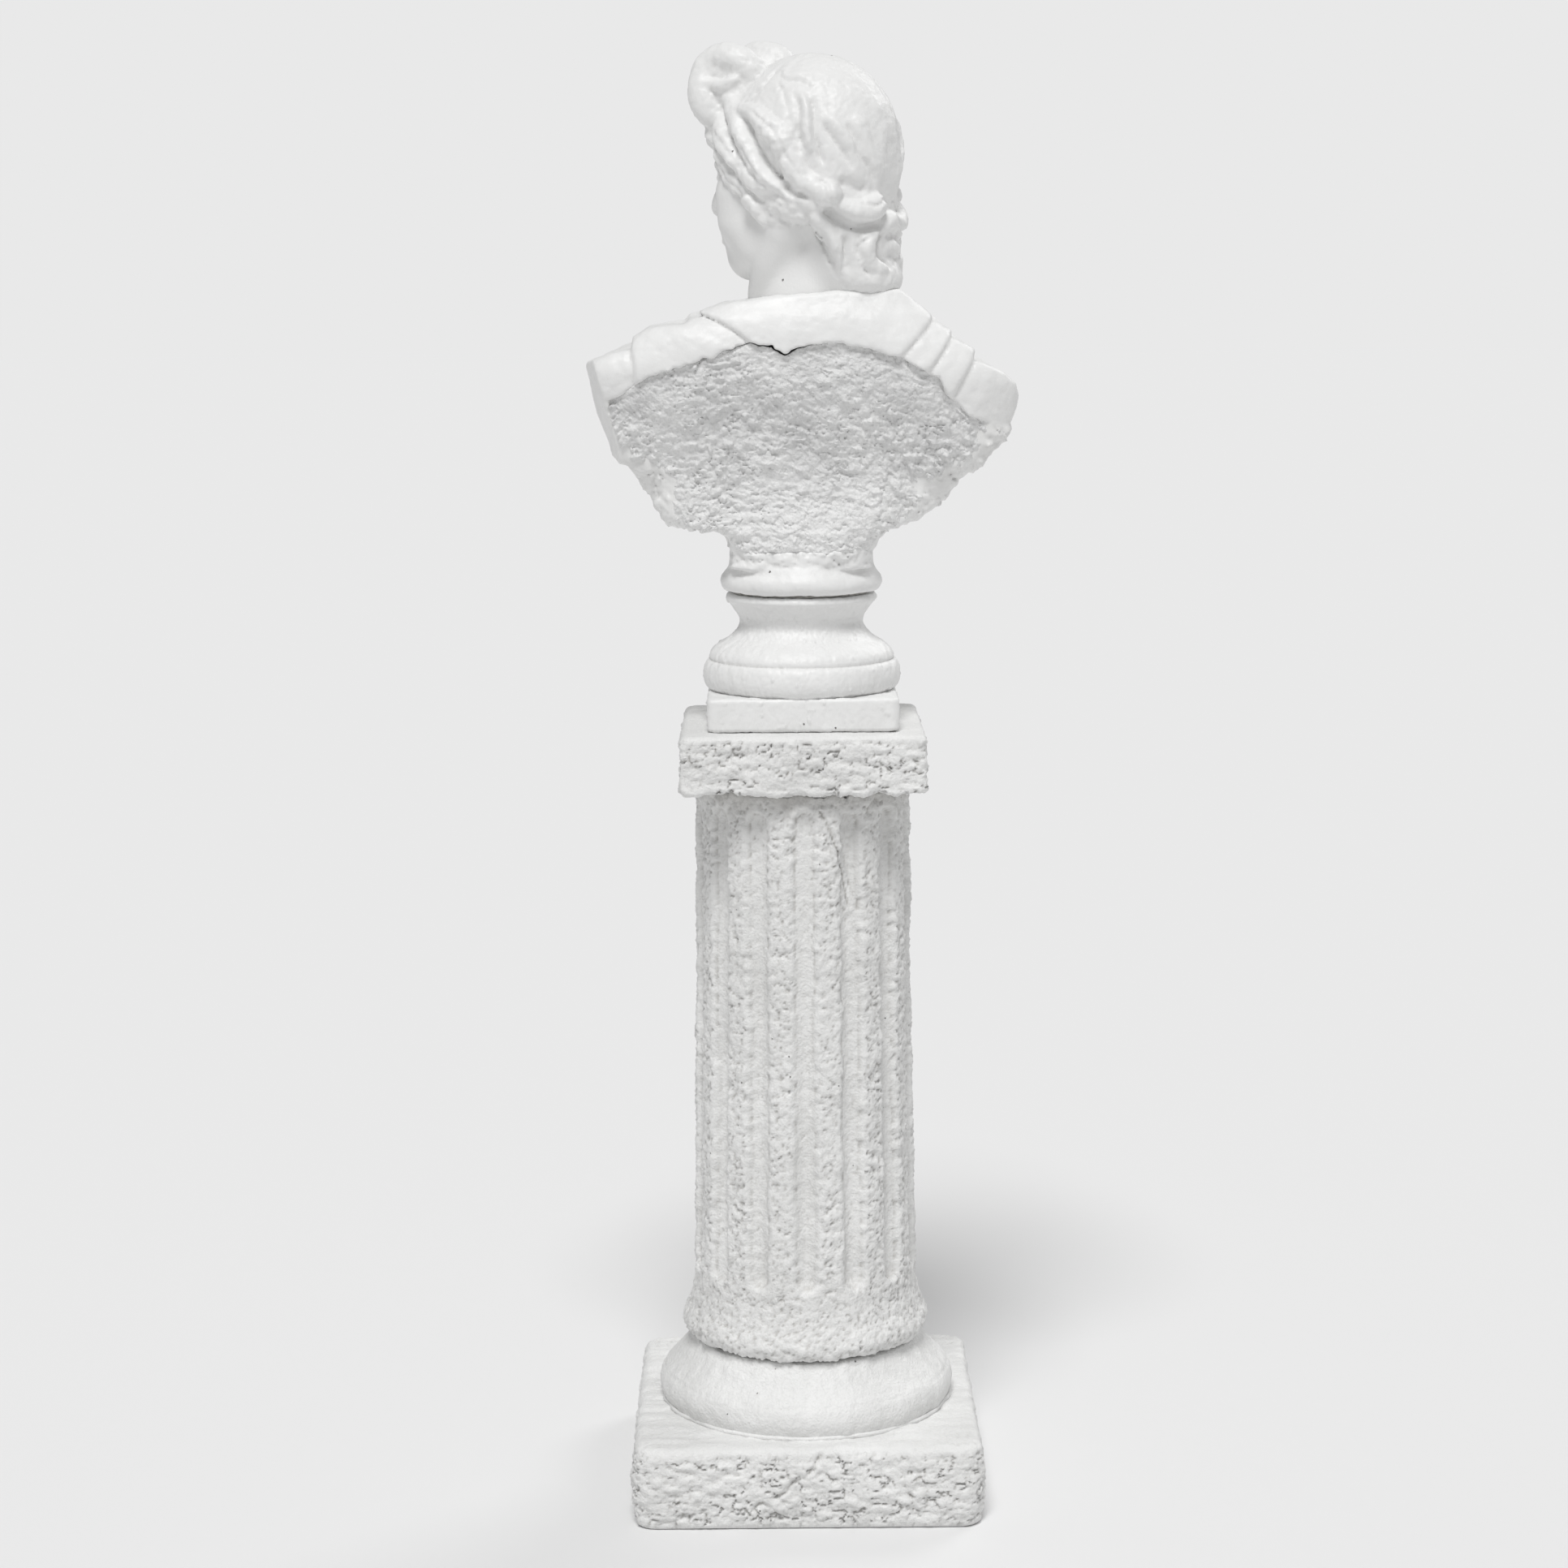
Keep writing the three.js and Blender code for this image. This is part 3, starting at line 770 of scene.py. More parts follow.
def chest_field(x, y, z):
    right, left, front, back = chest_reach(z)
    wide = np.where(x > 0, left, right) + SPARE
    deep = np.where(y > 0, back, front)
    share = (np.abs(x / wide) ** SQUARE_OFF + np.abs(y / deep) ** SQUARE_OFF) ** (1 / SQUARE_OFF)
    return (share - 1) * np.minimum(wide, deep)


def on_chest(x, z, lift=0.0):
    """A point on the front of the chest."""
    right, left, front, _ = chest_reach(z)
    wide = (left if x > 0 else right) + SPARE
    level = max(1 - abs(x / wide) ** SQUARE_OFF, 0.02) ** (1 / SQUARE_OFF)
    return np.array([x, -front * level - lift, z])


def true_distance(field, cell):
    slope = np.sqrt(sum(part**2 for part in np.gradient(field, cell)))
    return (field / np.maximum(slope, 0.25)).astype(np.float32)


# Where the cloth across the shoulders steps, seen from behind, as (x, z), downwards: each step's height,
# and whether the lower side is to its left (1) or right (-1).
BACK_FOLDS = [
    ([(44, 492), (39, 490.6), (33, 488.2), (26, 484.2), (21, 480.4), (15, 475)], 1.8, 1),
    ([(68.8, 484), (68, 478), (66.6, 470), (66.6, 464), (69, 456)], 1.9, 1),
    ([(-55, 491), (-50, 484.6), (-44, 478), (-37, 470)], 1.5, -1),
    ([(-62.6, 485), (-57, 476), (-50, 466)], 1.5, -1),
    ([(-71.6, 477), (-67, 468), (-60, 456)], 1.7, -1),
]


def shoulder_folds(x, z):
    """Steps of the cloth: a crease with a lower panel beyond it, which rises again to the next one."""
    flat = np.stack([x, z], axis=1)
    height = np.zeros(len(x))
    for line, step, side in BACK_FOLDS:
        curve = smooth_line(line, 5)
        away, _ = line_distance(flat, curve)
        beyond = (x - np.interp(z, curve[::-1, 1], curve[::-1, 0])) * side
        near_end = np.clip((11 - away) / 5, 0, 1)
        height -= step * np.clip(beyond / 1.4 + 0.5, 0, 1) * np.clip(1 - away / 11, 0, 1) * near_end
        height -= 0.8 * bump_shape(away, 1.0)
    return height + 0.25 * noise(np.stack([x, z * 0, z], axis=1), 9, 201)


# The trowel's strokes: their slant in degrees, and where across the back they are strongest.
STROKES = [(34, -48), (20, -10), (-10, 26), (-38, 60)]


# Lumps of the fill that stand out, as x, z and width.
FILL_KNOBS = [
    (-0.5, 428.5, 2.6), (0.5, 420, 2.0), (-9, 464, 2.2), (-17, 456, 1.8), (-38, 431, 1.8), (10, 458, 1.6),
]


def rough_fill(x, z):
    """Trowelled by hand: strokes whose slant changes across the back, smears, lumps and grit."""
    p = np.stack([x, x * 0, z], axis=1)
    bend = 1.6 * wobble(p, 9, 181)
    height = np.zeros(len(x))
    total = 1e-6
    for i, (slant, middle) in enumerate(STROKES):
        turn = math.radians(slant)
        along = (p + bend) @ (math.cos(turn), 0, math.sin(turn))
        across = (p + bend) @ (-math.sin(turn), 0, math.cos(turn))
        way = np.stack([along, x * 0, across], axis=1)
        strokes = 0.42 * layers(way, (10, 10, 2.8), 161 + 20 * i, 2)
        strokes += 0.3 * layers(way, (4.4, 4.4, 1.6), 166 + 20 * i, 2)
        smears = 0.9 * (1 - 3.4 * np.abs(layers(way, (11, 11, 2.8), 171 + 20 * i, 2))).clip(0, 1) ** 2
        share = bump_shape(x - middle + 22 * noise(p, 26, 301 + i), 26)
        height += share * (strokes + smears)
        total = total + share
    height /= total
    height *= np.clip(0.85 + 0.55 * layers(p, 13, 199, 2), 0.3, 1.7)
    patch = np.clip(0.55 + 0.7 * noise(p, 22, 173), 0, 1)
    flakes = (0.4 + 0.6 * patch) * creased(p, (4.4, 4.4, 3.2), 1.1, 191)
    lumps = 1.8 * patch * np.clip(noise(p, 2.8, 175) - 0.5, 0, 0.6)
    knobs = sum(1.3 * bump_shape(np.hypot(x - a, z - b), r) for a, b, r in FILL_KNOBS)
    return height + flakes + lumps + knobs + 0.9 * layers(p, 24, 179, 2) + sandy(p, 1.7, 1.1, 177)


def drapery_edge(x):
    """The height of the fill's upper edge."""
    top = np.array(FILL_TOP[::-1])
    return np.interp(x, top[:, 0], top[:, 1])


def back_painted_shade(p):
    """Painted shade on the rough back, in patches: darker the higher it lies, up to the drapery."""
    patchy = 0.36 + 0.22 * layers(p, 13, 215, 2)
    rising = np.clip((p[:, 2] - 402 + 5 * noise(p, 15, 213)) / 42, 0, 1)
    below = np.clip((drapery_edge(p[:, 0]) - p[:, 2]) / 2, 0, 1)
    behind = np.clip(p[:, 1] / 8, 0, 1)
    on_back = np.clip(-arm_cut(*p.T) / 2, 0, 1)
    return patchy.clip(0, 1) * rising * below * behind * on_back


def rough_below(x, z):
    """The fill's roughness runs out over the casting around it, up to the drapery and down to the foot."""
    inside = np.clip((z - 389) / 2, 0, 1) * np.clip((drapery_edge(x) - z) / 3, 0, 1)
    return inside * np.clip(-arm_cut(x, 36, z) / 3, 0, 1) * rough_fill(x, z)


def torso_block(low, high, cell):
    clay = Clay(low, high, cell)
    x, y, z = clay.everywhere()
    clay.field = true_distance(chest_field(x, y, z).astype(np.float32), cell)
    trim(clay, 2.2)
    return clay


def arm_cut(x, y, z):
    """How far beyond the flat end of the left arm a place is."""
    return (x - 79.6 - 0.267 * (z - 463) + 0.156 * (y - 30)) / 1.047


def trim(clay, soft):
    """Cuts the chest to its edge, and the left arm off flat."""
    x, y, z = clay.everywhere()
    edge = polygon_distance(x[:, 0, :], z[0, 0, :][None, :], EDGE)[:, None, :].astype(np.float32)
    field = -soft_min(-clay.field, -edge, soft)
    clay.field = -soft_min(-field, -arm_cut(x, y, z).astype(np.float32), 0.8)


def add_foot(clay):
    x, y, z = clay.everywhere()
    radius = np.sqrt(x * x + y * y)
    profile = [(378.4, 31.2), (379.6, 32.4), (382, 33.2), (384.4, 32.6), (386.6, 31), (389.6, 29.3)]
    profile = smooth_line(profile)
    ring = np.interp(z, profile[:, 0], profile[:, 1])
    foot = np.maximum(radius - ring, np.maximum(378.45 - z, z - 394)).astype(np.float32)
    clay.field = soft_min(clay.field, foot, 1.2)


def fill_zone(clay):
    """Below 0 where the rough fill is: behind a plane, below the drapery and inside the casting's rim."""
    x, y, z = clay.everywhere()
    flat_x, flat_z = np.broadcast_arrays(x[:, 0, :], z[:, 0, :])
    outline = polygon_distance(flat_x, flat_z, FILL_TOP + FILL_EDGE)
    p = np.stack([flat_x.ravel(), 0 * flat_x.ravel(), flat_z.ravel()], axis=1)
    outline += (0.7 * layers(p, 5, 211)).reshape(outline.shape)
    return np.maximum(outline[:, None, :], FILL_PLANE - y).astype(np.float32)


def crack_width(clay):
    """The drapery laps over the fill, but for an open crack around the notch in its edge."""
    x, _, z = clay.everywhere()
    around = bump_shape(np.hypot((x - 10) / 2.2, z - 477), 8)
    return (1.1 * around - 0.45).astype(np.float32)


def neck_hole(clay):
    x, y, z = clay.everywhere()
    x, y = x - NECK_AT[0], y - NECK_AT[1]
    face_x = x * math.cos(NECK_YAW) + y * math.sin(NECK_YAW)
    face_y = y * math.cos(NECK_YAW) - x * math.sin(NECK_YAW)
    return np.maximum(neck_shape(face_x, face_y, z - NECK_AT[2]), 490.5 - z).astype(np.float32)


def bores(clay):
    x, y, z = clay.everywhere()
    lower = np.maximum(np.hypot(x, y) - BORE, z - BAR_TOP)
    upper = np.maximum(np.hypot(x - NECK_AT[0], y) - NECK_BORE, NECK_BAR_LOW - z)
    return np.minimum(lower, upper).astype(np.float32)


def emboss(clay, relief, fade):
    """Raises the surface by relief(x, z), a height map seen from behind, where fade(y) is above 0."""
    x, y, z = clay.everywhere()
    flat_x, flat_z = np.broadcast_arrays(x[:, 0, :], z[:, 0, :])
    height = relief(flat_x.ravel(), flat_z.ravel()).reshape(flat_x.shape)
    clay.field -= (height[:, None, :] * fade(y)).astype(np.float32)


# The cloak's folds across the chest: where each is pinned on the left and right shoulder, how low it
# hangs and how far to the left its lowest point lies, and how thick it is.
FRONT_FOLDS = [
    ((35, 494), (-47, 494), 483, 4, 3.2),
    ((44, 492), (-55, 489), 474.5, 7, 4.0),
    ((55, 489), (-62, 484), 464, 3, 3.4),
    ((64, 484), (-69, 477), 455, 8, 4.4),
    ((72, 478), (-76, 471), 443, 2, 3.6),
    ((78, 471), (-80, 462), 433.5, 6, 4.2),
    ((80, 460), (-80, 452), 421.5, 0, 3.6),
]


def drape_front(clay):
    for left, right, low, lean, thick in FRONT_FOLDS:
        spread = (left[0] - right[0]) / 2
        route = []
        for t in np.linspace(-1, 1, 9):
            x = (left[0] + right[0]) / 2 + spread * t + lean * (1 - t * t)
            pinned = right[1] + (left[1] - right[1]) * (t + 1) / 2
            z = low + (pinned - low) * abs(t) ** 1.9 + 1.2 * math.sin(3.1 * t + low)
            route.append(on_chest(x, z, 1.5 - 4.2 * t**4))
        taper = [thick * 0.3, thick * 0.75, thick, thick * 0.8, thick * 0.3]
        clay.strand(smooth_line(route, 5), taper, 4.5)


def torso():
    cell = 0.93
    clay = torso_block((-93, -58, 376), (93, 42, 506), cell)
    drape_front(clay)
    trim(clay, 1.0)
    add_foot(clay)
    emboss(clay, shoulder_folds, lambda y: np.clip((y + 16) / 12, 0, 1))
    emboss(clay, rough_below, lambda y: np.clip((y - 2) / 8, 0, 1))
    clay.near_surface(lambda p: 0.2 * layers(p, 6, 141) + sandy(p, 2.1, 0.45, 143), 1.4)
    clay.field = np.maximum(clay.field, crack_width(clay) - fill_zone(clay))
    clay.field = np.maximum(clay.field, SEAM - neck_hole(clay))
    clay.field = np.maximum(clay.field, -bores(clay))
    points, quads = clay.skin()
    piece = made("torso_cast", points, quads, SMOOTH_PAINT, "bust", "plaster", "torso")
    # The torso's hollows and rough back get painted shade.
    mark_hollows(piece, 4, 0.7, back_painted_shade)


def fill_depth(clay):
    """How far the fill lies below the casting's own surface: most under the drapery's edge."""
    x, _, z = clay.everywhere()
    under = np.clip(1 - (drapery_edge(x) - z) / 14, 0, 1)
    return (0.4 * np.clip((z - 398) / 8, 0, 1) + 1.5 * under).astype(np.float32)


def back_fill():
    clay = torso_block((-84, FILL_PLANE - 2, 393), (82, 41, 482), 0.55)
    clay.field += fill_depth(clay)
    emboss(clay, rough_fill, lambda y: np.ones(y.shape))
    clay.field = np.maximum(clay.field, fill_zone(clay))
    clay.field = np.maximum(clay.field, -bores(clay))
    points, quads = clay.skin()
    piece = made("back_fill_cast", points, quads, FILL_PAINT, "bust", "rough_fill", "back_fill")
    # The fill's hollows get painted shade, and more of it the higher they lie.
    mark_hollows(piece, 3, 0.5, back_painted_shade)


# ---- Head ----
# It has a frame of its own: the face looks along -Y and the neck stands on the origin. The face is a
# plain classical one by the usual rules: eyes at half the head's height, and the nose's foot and the
# chin a third of the face below the brow each.

CHIN, SKULL_TOP = 14.0, 98.0
EYE_LINE = (CHIN + SKULL_TOP) / 2
THIRD = 23.5
BROW = CHIN + 2 * THIRD
NOSE_FOOT = CHIN + THIRD
MOUTH = NOSE_FOOT - THIRD / 3
EYE_APART = 12.0


def neck_shape(x, y, z):
    t = np.clip(z / 40, 0, 1)
    wide, deep = 22.5 - 5.5 * t, 22 - 3 * t
    shift = 3 + 1.5 * t
    share = np.sqrt((x / wide) ** 2 + ((y - shift) / deep) ** 2)
    return (share - 1) * np.minimum(wide, deep)


def both(points):
    """A line and its mirror image on the other side of the face."""
    line = np.asarray(points, float)
    return [line, line * (-1, 1, 1)]


def model_face(clay):
    clay.ball((0, 3, 64), (29.5, 36, 34.5), 0)
    clay.ball((0, -12, 45), (23, 21, 31), 8)
    clay.ball((0, -13, 71), (25, 21, 20), 8)
    clay.ball((0, -23.6, CHIN + 8), (10.5, 9.6, 8.2), 8)
    for jaw in both([(18.5, -2, 34), (14.5, -12, 25), (6.5, -21, 20.5)]):
        clay.strand(jaw, [7.5, 7.2, 7], 7)
    for cheek in both([(15, -20.6, EYE_LINE - 10), (14.5, -20.4, EYE_LINE - 20)]):
        clay.strand(cheek, [9.4, 9.4], 8)
    brow = [(0, -32.6, BROW - 1), (6, -32.8, BROW + 0.4), (12, -31.2, BROW + 1), (18.5, -26, BROW - 1.4)]
    for line in both(brow):
        clay.strand(smooth_line(line, 3), [2.3, 2.5, 1.5], 2.6)
    for socket in both([(EYE_APART - 1, -36.2, EYE_LINE + 0.5), (EYE_APART + 2, -34.6, EYE_LINE)]):
        clay.strand(socket, [6.4, 6.2], 4, cutting=True)
    for eye in both([(EYE_APART, -25.6, EYE_LINE), (EYE_APART + 0.6, -25.4, EYE_LINE)]):
        clay.strand(eye, [6.2, 6.2], 0.8)
    upper_lid = [(5.6, -30.2, EYE_LINE - 0.8), (8.5, -32, EYE_LINE + 2), (12.2, -32.6, EYE_LINE + 3.1),
                 (16, -31, EYE_LINE + 1.8), (18.8, -27.6, EYE_LINE - 1.2)]
    lower_lid = [(5.6, -30.2, EYE_LINE - 0.8), (9, -31.4, EYE_LINE - 2.7), (12.6, -31.6, EYE_LINE - 3.4),
                 (16, -30, EYE_LINE - 2.8), (18.8, -27.6, EYE_LINE - 1.2)]
    for line in both(upper_lid):
        clay.strand(smooth_line(line, 3), [0.7, 1.2, 0.8], 0.8)
    for line in both(lower_lid):
        clay.strand(smooth_line(line, 3), [0.6, 0.9, 0.6], 1.2)
    model_nose(clay)
    model_mouth(clay)


def model_nose(clay):
    bridge = [(0, -32, BROW), (0, -33.6, EYE_LINE - 1), (0, -36.2, NOSE_FOOT + 9),
              (0, -38.2, NOSE_FOOT + 4.4)]
    clay.strand(smooth_line(bridge, 4), [2.6, 2.4, 2.9, 3.2], 3.5)
    clay.ball((0, -38, NOSE_FOOT + 3.6), (3.8, 4.2, 3.5), 2)
    for wing in both([(4.2, -34, NOSE_FOOT + 2.8), (3.9, -35.8, NOSE_FOOT + 2.6)]):
        clay.strand(wing, [2.4, 2.0], 1.4)
    for hole in both([(2.7, -35.6, NOSE_FOOT - 0.6), (2.3, -37.2, NOSE_FOOT - 0.3)]):
        clay.strand(hole, [1.1, 0.9], 0.8, cutting=True)


def model_mouth(clay):
    clay.ball((0, -25.4, MOUTH + 1), (12.5, 9, 9), 5)
    upper_lip = [(0, -34.3, MOUTH + 1.6), (3.2, -34.3, MOUTH + 2.2), (7.2, -32.4, MOUTH + 1.2),
                 (11, -29, MOUTH + 0.2)]
    for lip in both(upper_lip):
        clay.strand(smooth_line(lip, 3), [1.8, 1.8, 1.4, 0.7], 1.6)
    for lip in both([(0, -33.6, MOUTH - 2.1), (4.5, -33, MOUTH - 1.9), (10.4, -29.4, MOUTH - 0.3)]):
        clay.strand(smooth_line(lip, 3), [2.2, 1.9, 0.7], 1.8)
    for line in both([(0, -36, MOUTH + 0.1), (4.4, -35.2, MOUTH + 0.3), (7.6, -33.6, MOUTH + 0.2)]):
        clay.strand(smooth_line(line, 3), [0.6, 0.5, 0.1], 0.9, cutting=True)
    clay.strand([(0, -36, NOSE_FOOT - 2.4), (0, -36.4, MOUTH + 4.6)], [0.8, 1.0], 1.8, cutting=True)
    dip = [(-5, -34.6, MOUTH - 6.4), (0, -35.4, MOUTH - 6.2), (5, -34.6, MOUTH - 6.4)]
    clay.strand(dip, [1.8, 2.2, 1.8], 3, cutting=True)


def model_neck(clay):
    x, y, z = clay.everywhere()
    neck = np.maximum(neck_shape(x, y, z), z - 44).astype(np.float32)
    clay.field = soft_min(clay.field, neck, 6)
    for line in both([(21, 8, 38), (15, -6, 18), (6, -17.5, 2)]):
        clay.strand(smooth_line(line, 4), [4, 4.4, 3.6], 6)


# Places on the hair are given as (azimuth, height): degrees from the face towards its left, and
# millimetres above the neck's foot.
SCALP_BACK = 4.0  # how far behind the neck's middle the line lies that azimuths turn about


def on_hair(clay, azimuth, height, lift=0.0):
    """A point on the clay's outermost surface, moved outwards by lift."""
    a = math.radians(azimuth)
    way = np.array([math.sin(a), -math.cos(a)])
    out = np.arange(52, 6, -0.3)
    flat = way * out[:, None] + (0, SCALP_BACK)
    cells = [np.rint((value - low) / clay.cell).astype(int)
             for value, low in zip((flat[:, 0], flat[:, 1], height), clay.low)]
    cells = [np.clip(c, 0, size - 1) for c, size in zip(cells, clay.field.shape)]
    inside = clay.field[cells[0], cells[1], cells[2]] < 0
    reach = out[np.argmax(inside)] if inside.any() else 10
    return np.array([*(way * (reach + lift) + (0, SCALP_BACK)), height])


def rope(clay, route, radii, lift, soft):
    """A thick lock of hair along (azimuth, height) points."""
    line = [on_hair(clay, a, h, lift) for a, h in route]
    clay.strand(smooth_line(line, 4), radii, soft)


def mirrored(route, side):
    return [(side * a, h) for a, h in route]


def hair_cap(clay):
    """The smooth hair over the skull, and the mass that hangs from it over the nape to the collar."""
    clay.ball((0, 4.4, 66.5), (31.5, 35.4, 35.2), 2)
    clay.ball((0, 21, 48), (25.5, 17.5, 26), 8)
    for side in (1, -1):
        clay.ball((side * 8, 24, 27), (12, 13.5, 22), 6)
    clay.ball((0, 26, 22), (16, 12.5, 24), 5)
    clay.ball((0, 32.5, 12.5), (15, 9.5, 8.5), 3)


# The hair rolled back from the brow to behind the ear: each rope's points, thickness and lift.
ROLL = [
    ([(20, 73), (32, 64), (46, 55), (58, 48), (70, 42), (80, 37)], [3.4, 4.4, 4.6, 4.2, 3.0], -1.4),
    ([(24, 80), (40, 69), (56, 59), (70, 51), (86, 44), (102, 39.5), (116, 38)],
     [3.8, 5.4, 6.0, 5.4, 3.6], -1.0),
    ([(36, 82), (54, 73), (68, 64), (80, 54), (94, 47), (110, 43), (124, 41)],
     [3.5, 4.2, 4.6, 4.8, 3.8], -0.8),
    ([(56, 79), (70, 77), (82, 73), (92, 69), (99, 64), (104, 57), (112, 51), (122, 47)],
     [2.6, 3.8, 4.2, 4.4, 4.8], -0.6),
]


def hair_roll(clay):
    for side in (1, -1):
        for route, thick, lift in ROLL:
            rope(clay, mirrored(route, side), thick, lift, 1.6)
        clay.ball(on_hair(clay, side * 130, 45.5, -0.8), (6.2, 6.2, 5.6), 0.7)
        rope(clay, mirrored([(66, 43), (71, 38), (75, 34)], side), [2.8, 2.6, 1.0], 0, 1.2)
        clay.ball(on_hair(clay, side * 22, 71, -2), (6, 5, 7), 2)


# The locks behind the left ear and on the nape, then those of the right side, which fall otherwise.
NAPE = [
    ([(138, 41), (148, 38.5), (157, 38.5), (165, 41)], [3.4, 4.6, 5.2, 5.4], -0.8),
    ([(122, 37), (130, 32), (137, 25), (141, 16)], [3.6, 4.4, 3.6, 1.2], -0.8),
    ([(164, 31), (157, 26), (160, 19), (170, 16)], [3.0, 3.8, 4.0, 3.2], -1.6),
    ([(170, 31), (182, 35), (194, 33), (206, 36), (220, 42)], [2.6, 4.0, 4.6, 4.8, 4.0], -1.2),
    ([(174, 23), (184, 25), (194, 21), (201, 13)], [2.2, 3.4, 3.8, 2.4], -1.6),
    ([(208, 30), (214, 23), (217, 14)], [3.0, 3.6, 1.6], -1.0),
    ([(226, 38), (232, 31), (229, 22)], [3.6, 3.8, 1.4], -0.8),
]


def hair_nape(clay):
    for route, thick, lift in NAPE:
        rope(clay, route, thick, lift, 1.0)


# Half of the bow of hair above the brow: the middle of its loop, and the loop's reach back and up.
LOOP = np.array([11.5, -27.0, 89.6])
LOOP_REACH = (10.6, 11.4)


def hair_bow(clay):
    """Two loops of hair tied above the brow, with a hollow in the side of each."""
    for side in (1, -1):
        middle = LOOP + ((0, 0, 0) if side > 0 else (0, 1, 2.2))
        middle = middle * (side, 1, 1)
        clay.ball(middle - (side * 0.5, 0, 1), (9.5, 13.5, 14.5), 3)
        loop = []
        for angle in np.radians(np.arange(0, 361, 24)):
            back, up = math.cos(angle), math.sin(angle)
            out = side * (2.2 - 2.5 * back + 1.4 * math.sin(2 * angle))
            bulge = 1 + 0.08 * math.sin(3 * angle + 1)
            loop.append(middle + (out, LOOP_REACH[0] * back * bulge, LOOP_REACH[1] * up * bulge))
        clay.strand(smooth_line(loop, 3), [5.0, 5.6, 4.6, 5.4, 6.0, 5.6, 5.0], 1.8)
        clay.ball(middle + (side * 11.6, 1, 4.2), (4.6, 8, 4.4), 1.5, cutting=True)
        lip = [middle + (side * 7.8, 7, 2), middle + (side * 8.8, 1, -0.6), middle + (side * 8.2, -6, 1)]
        clay.strand(smooth_line(lip, 3), [1.2, 1.8, 1.2], 1.6)
    knot = [(0, -27, 99), (0, -36, 93), (0, -38.5, 84), (0, -36, 76)]
    clay.strand(smooth_line(knot, 4), [3, 5, 5, 3.4], 1.6)


# Lines drawn into the hair with the modelling tool: (azimuth, height) points, depth and width. Where the
# depth is below 0 a ridge is left standing.
LINES = [
    ([(18, 79), (30, 70), (44, 61), (56, 53.5), (70, 46.5), (84, 41)], 1.1, 1.1),
    ([(30, 82), (48, 70), (62, 60.5), (76, 52.5), (92, 45), (112, 40)], 1.2, 1.2),
    ([(58, 77), (68, 71), (78, 62), (88, 54), (102, 47), (118, 43.5)], 2.0, 1.6),
    ([(22, 69), (36, 60), (50, 51.5), (62, 45)], 0.8, 0.8),
    ([(40, 70.5), (56, 61), (68, 54)], 0.7, 0.7),
    ([(64, 66), (74, 58), (84, 51), (96, 45.5)], 0.8, 0.7),
    ([(66, 79), (80, 75.5), (90, 71.5), (97, 66.5), (102, 60), (110, 53.5)], 0.8, 0.7),
    ([(122, 51), (127, 48.5), (129, 44), (134, 41)], 1.0, 0.8),
    ([(126, 40), (134, 37), (146, 33.5), (160, 32.5), (172, 34)], 2.4, 1.8),
    ([(150, 41), (160, 41), (168, 43), (175, 42)], 0.8, 0.8),
    ([(118, 33), (128, 28), (134, 21), (137, 14)], 1.2, 1.0),
    ([(146, 31), (144, 24), (147, 15)], 1.5, 1.3),
    ([(172, 31), (166, 27), (167, 21), (176, 16)], 1.5, 1.0),
    ([(160, 30), (152, 25), (155, 18), (162, 12)], 1.0, 0.9),
    ([(110, 86), (116, 79), (116, 70), (120, 61)], -2.3, 2.0),
    ([(114, 85), (121, 78), (121, 70), (124, 62), (128, 57)], 1.8, 1.1),
    ([(105, 85), (110, 78), (110, 70), (115, 62)], 1.0, 1.2),
    ([(128, 77), (135, 72), (141, 68), (149, 61)], -1.5, 1.9),
    ([(126, 73), (133, 67), (139, 62), (146, 55)], 1.4, 1.0),
    ([(148, 77), (153, 69), (160, 61), (167, 51)], -1.4, 2.2),
    ([(144, 73), (149, 64), (156, 57), (162, 49)], 1.2, 1.0),
    ([(136, 51), (147, 48), (158, 47)], 1.8, 2.4),
    ([(96, 78), (101, 71), (105, 66)], -0.7, 1.8),
    ([(168, 84), (174, 74), (168, 62), (175, 50)], -0.8, 2.2),
    ([(78, 97), (92, 93), (108, 92), (126, 90)], -0.6, 1.6),
    ([(80, 94), (94, 90), (110, 88.5), (124, 86)], 0.5, 0.9),
    ([(84, 90), (96, 84), (101, 78)], 0.5, 1.0),
    ([(60, 84), (68, 88), (72, 95)], 1.2, 1.2),
]
# How low the hair comes at each azimuth.
HAIRLINE = [(0, 78), (24, 64), (56, 44), (71, 36), (90, 34), (120, 33), (133, 20), (145, 8), (180, 4)]
ROUND = 0.5  # millimetres along the hair for a degree of azimuth


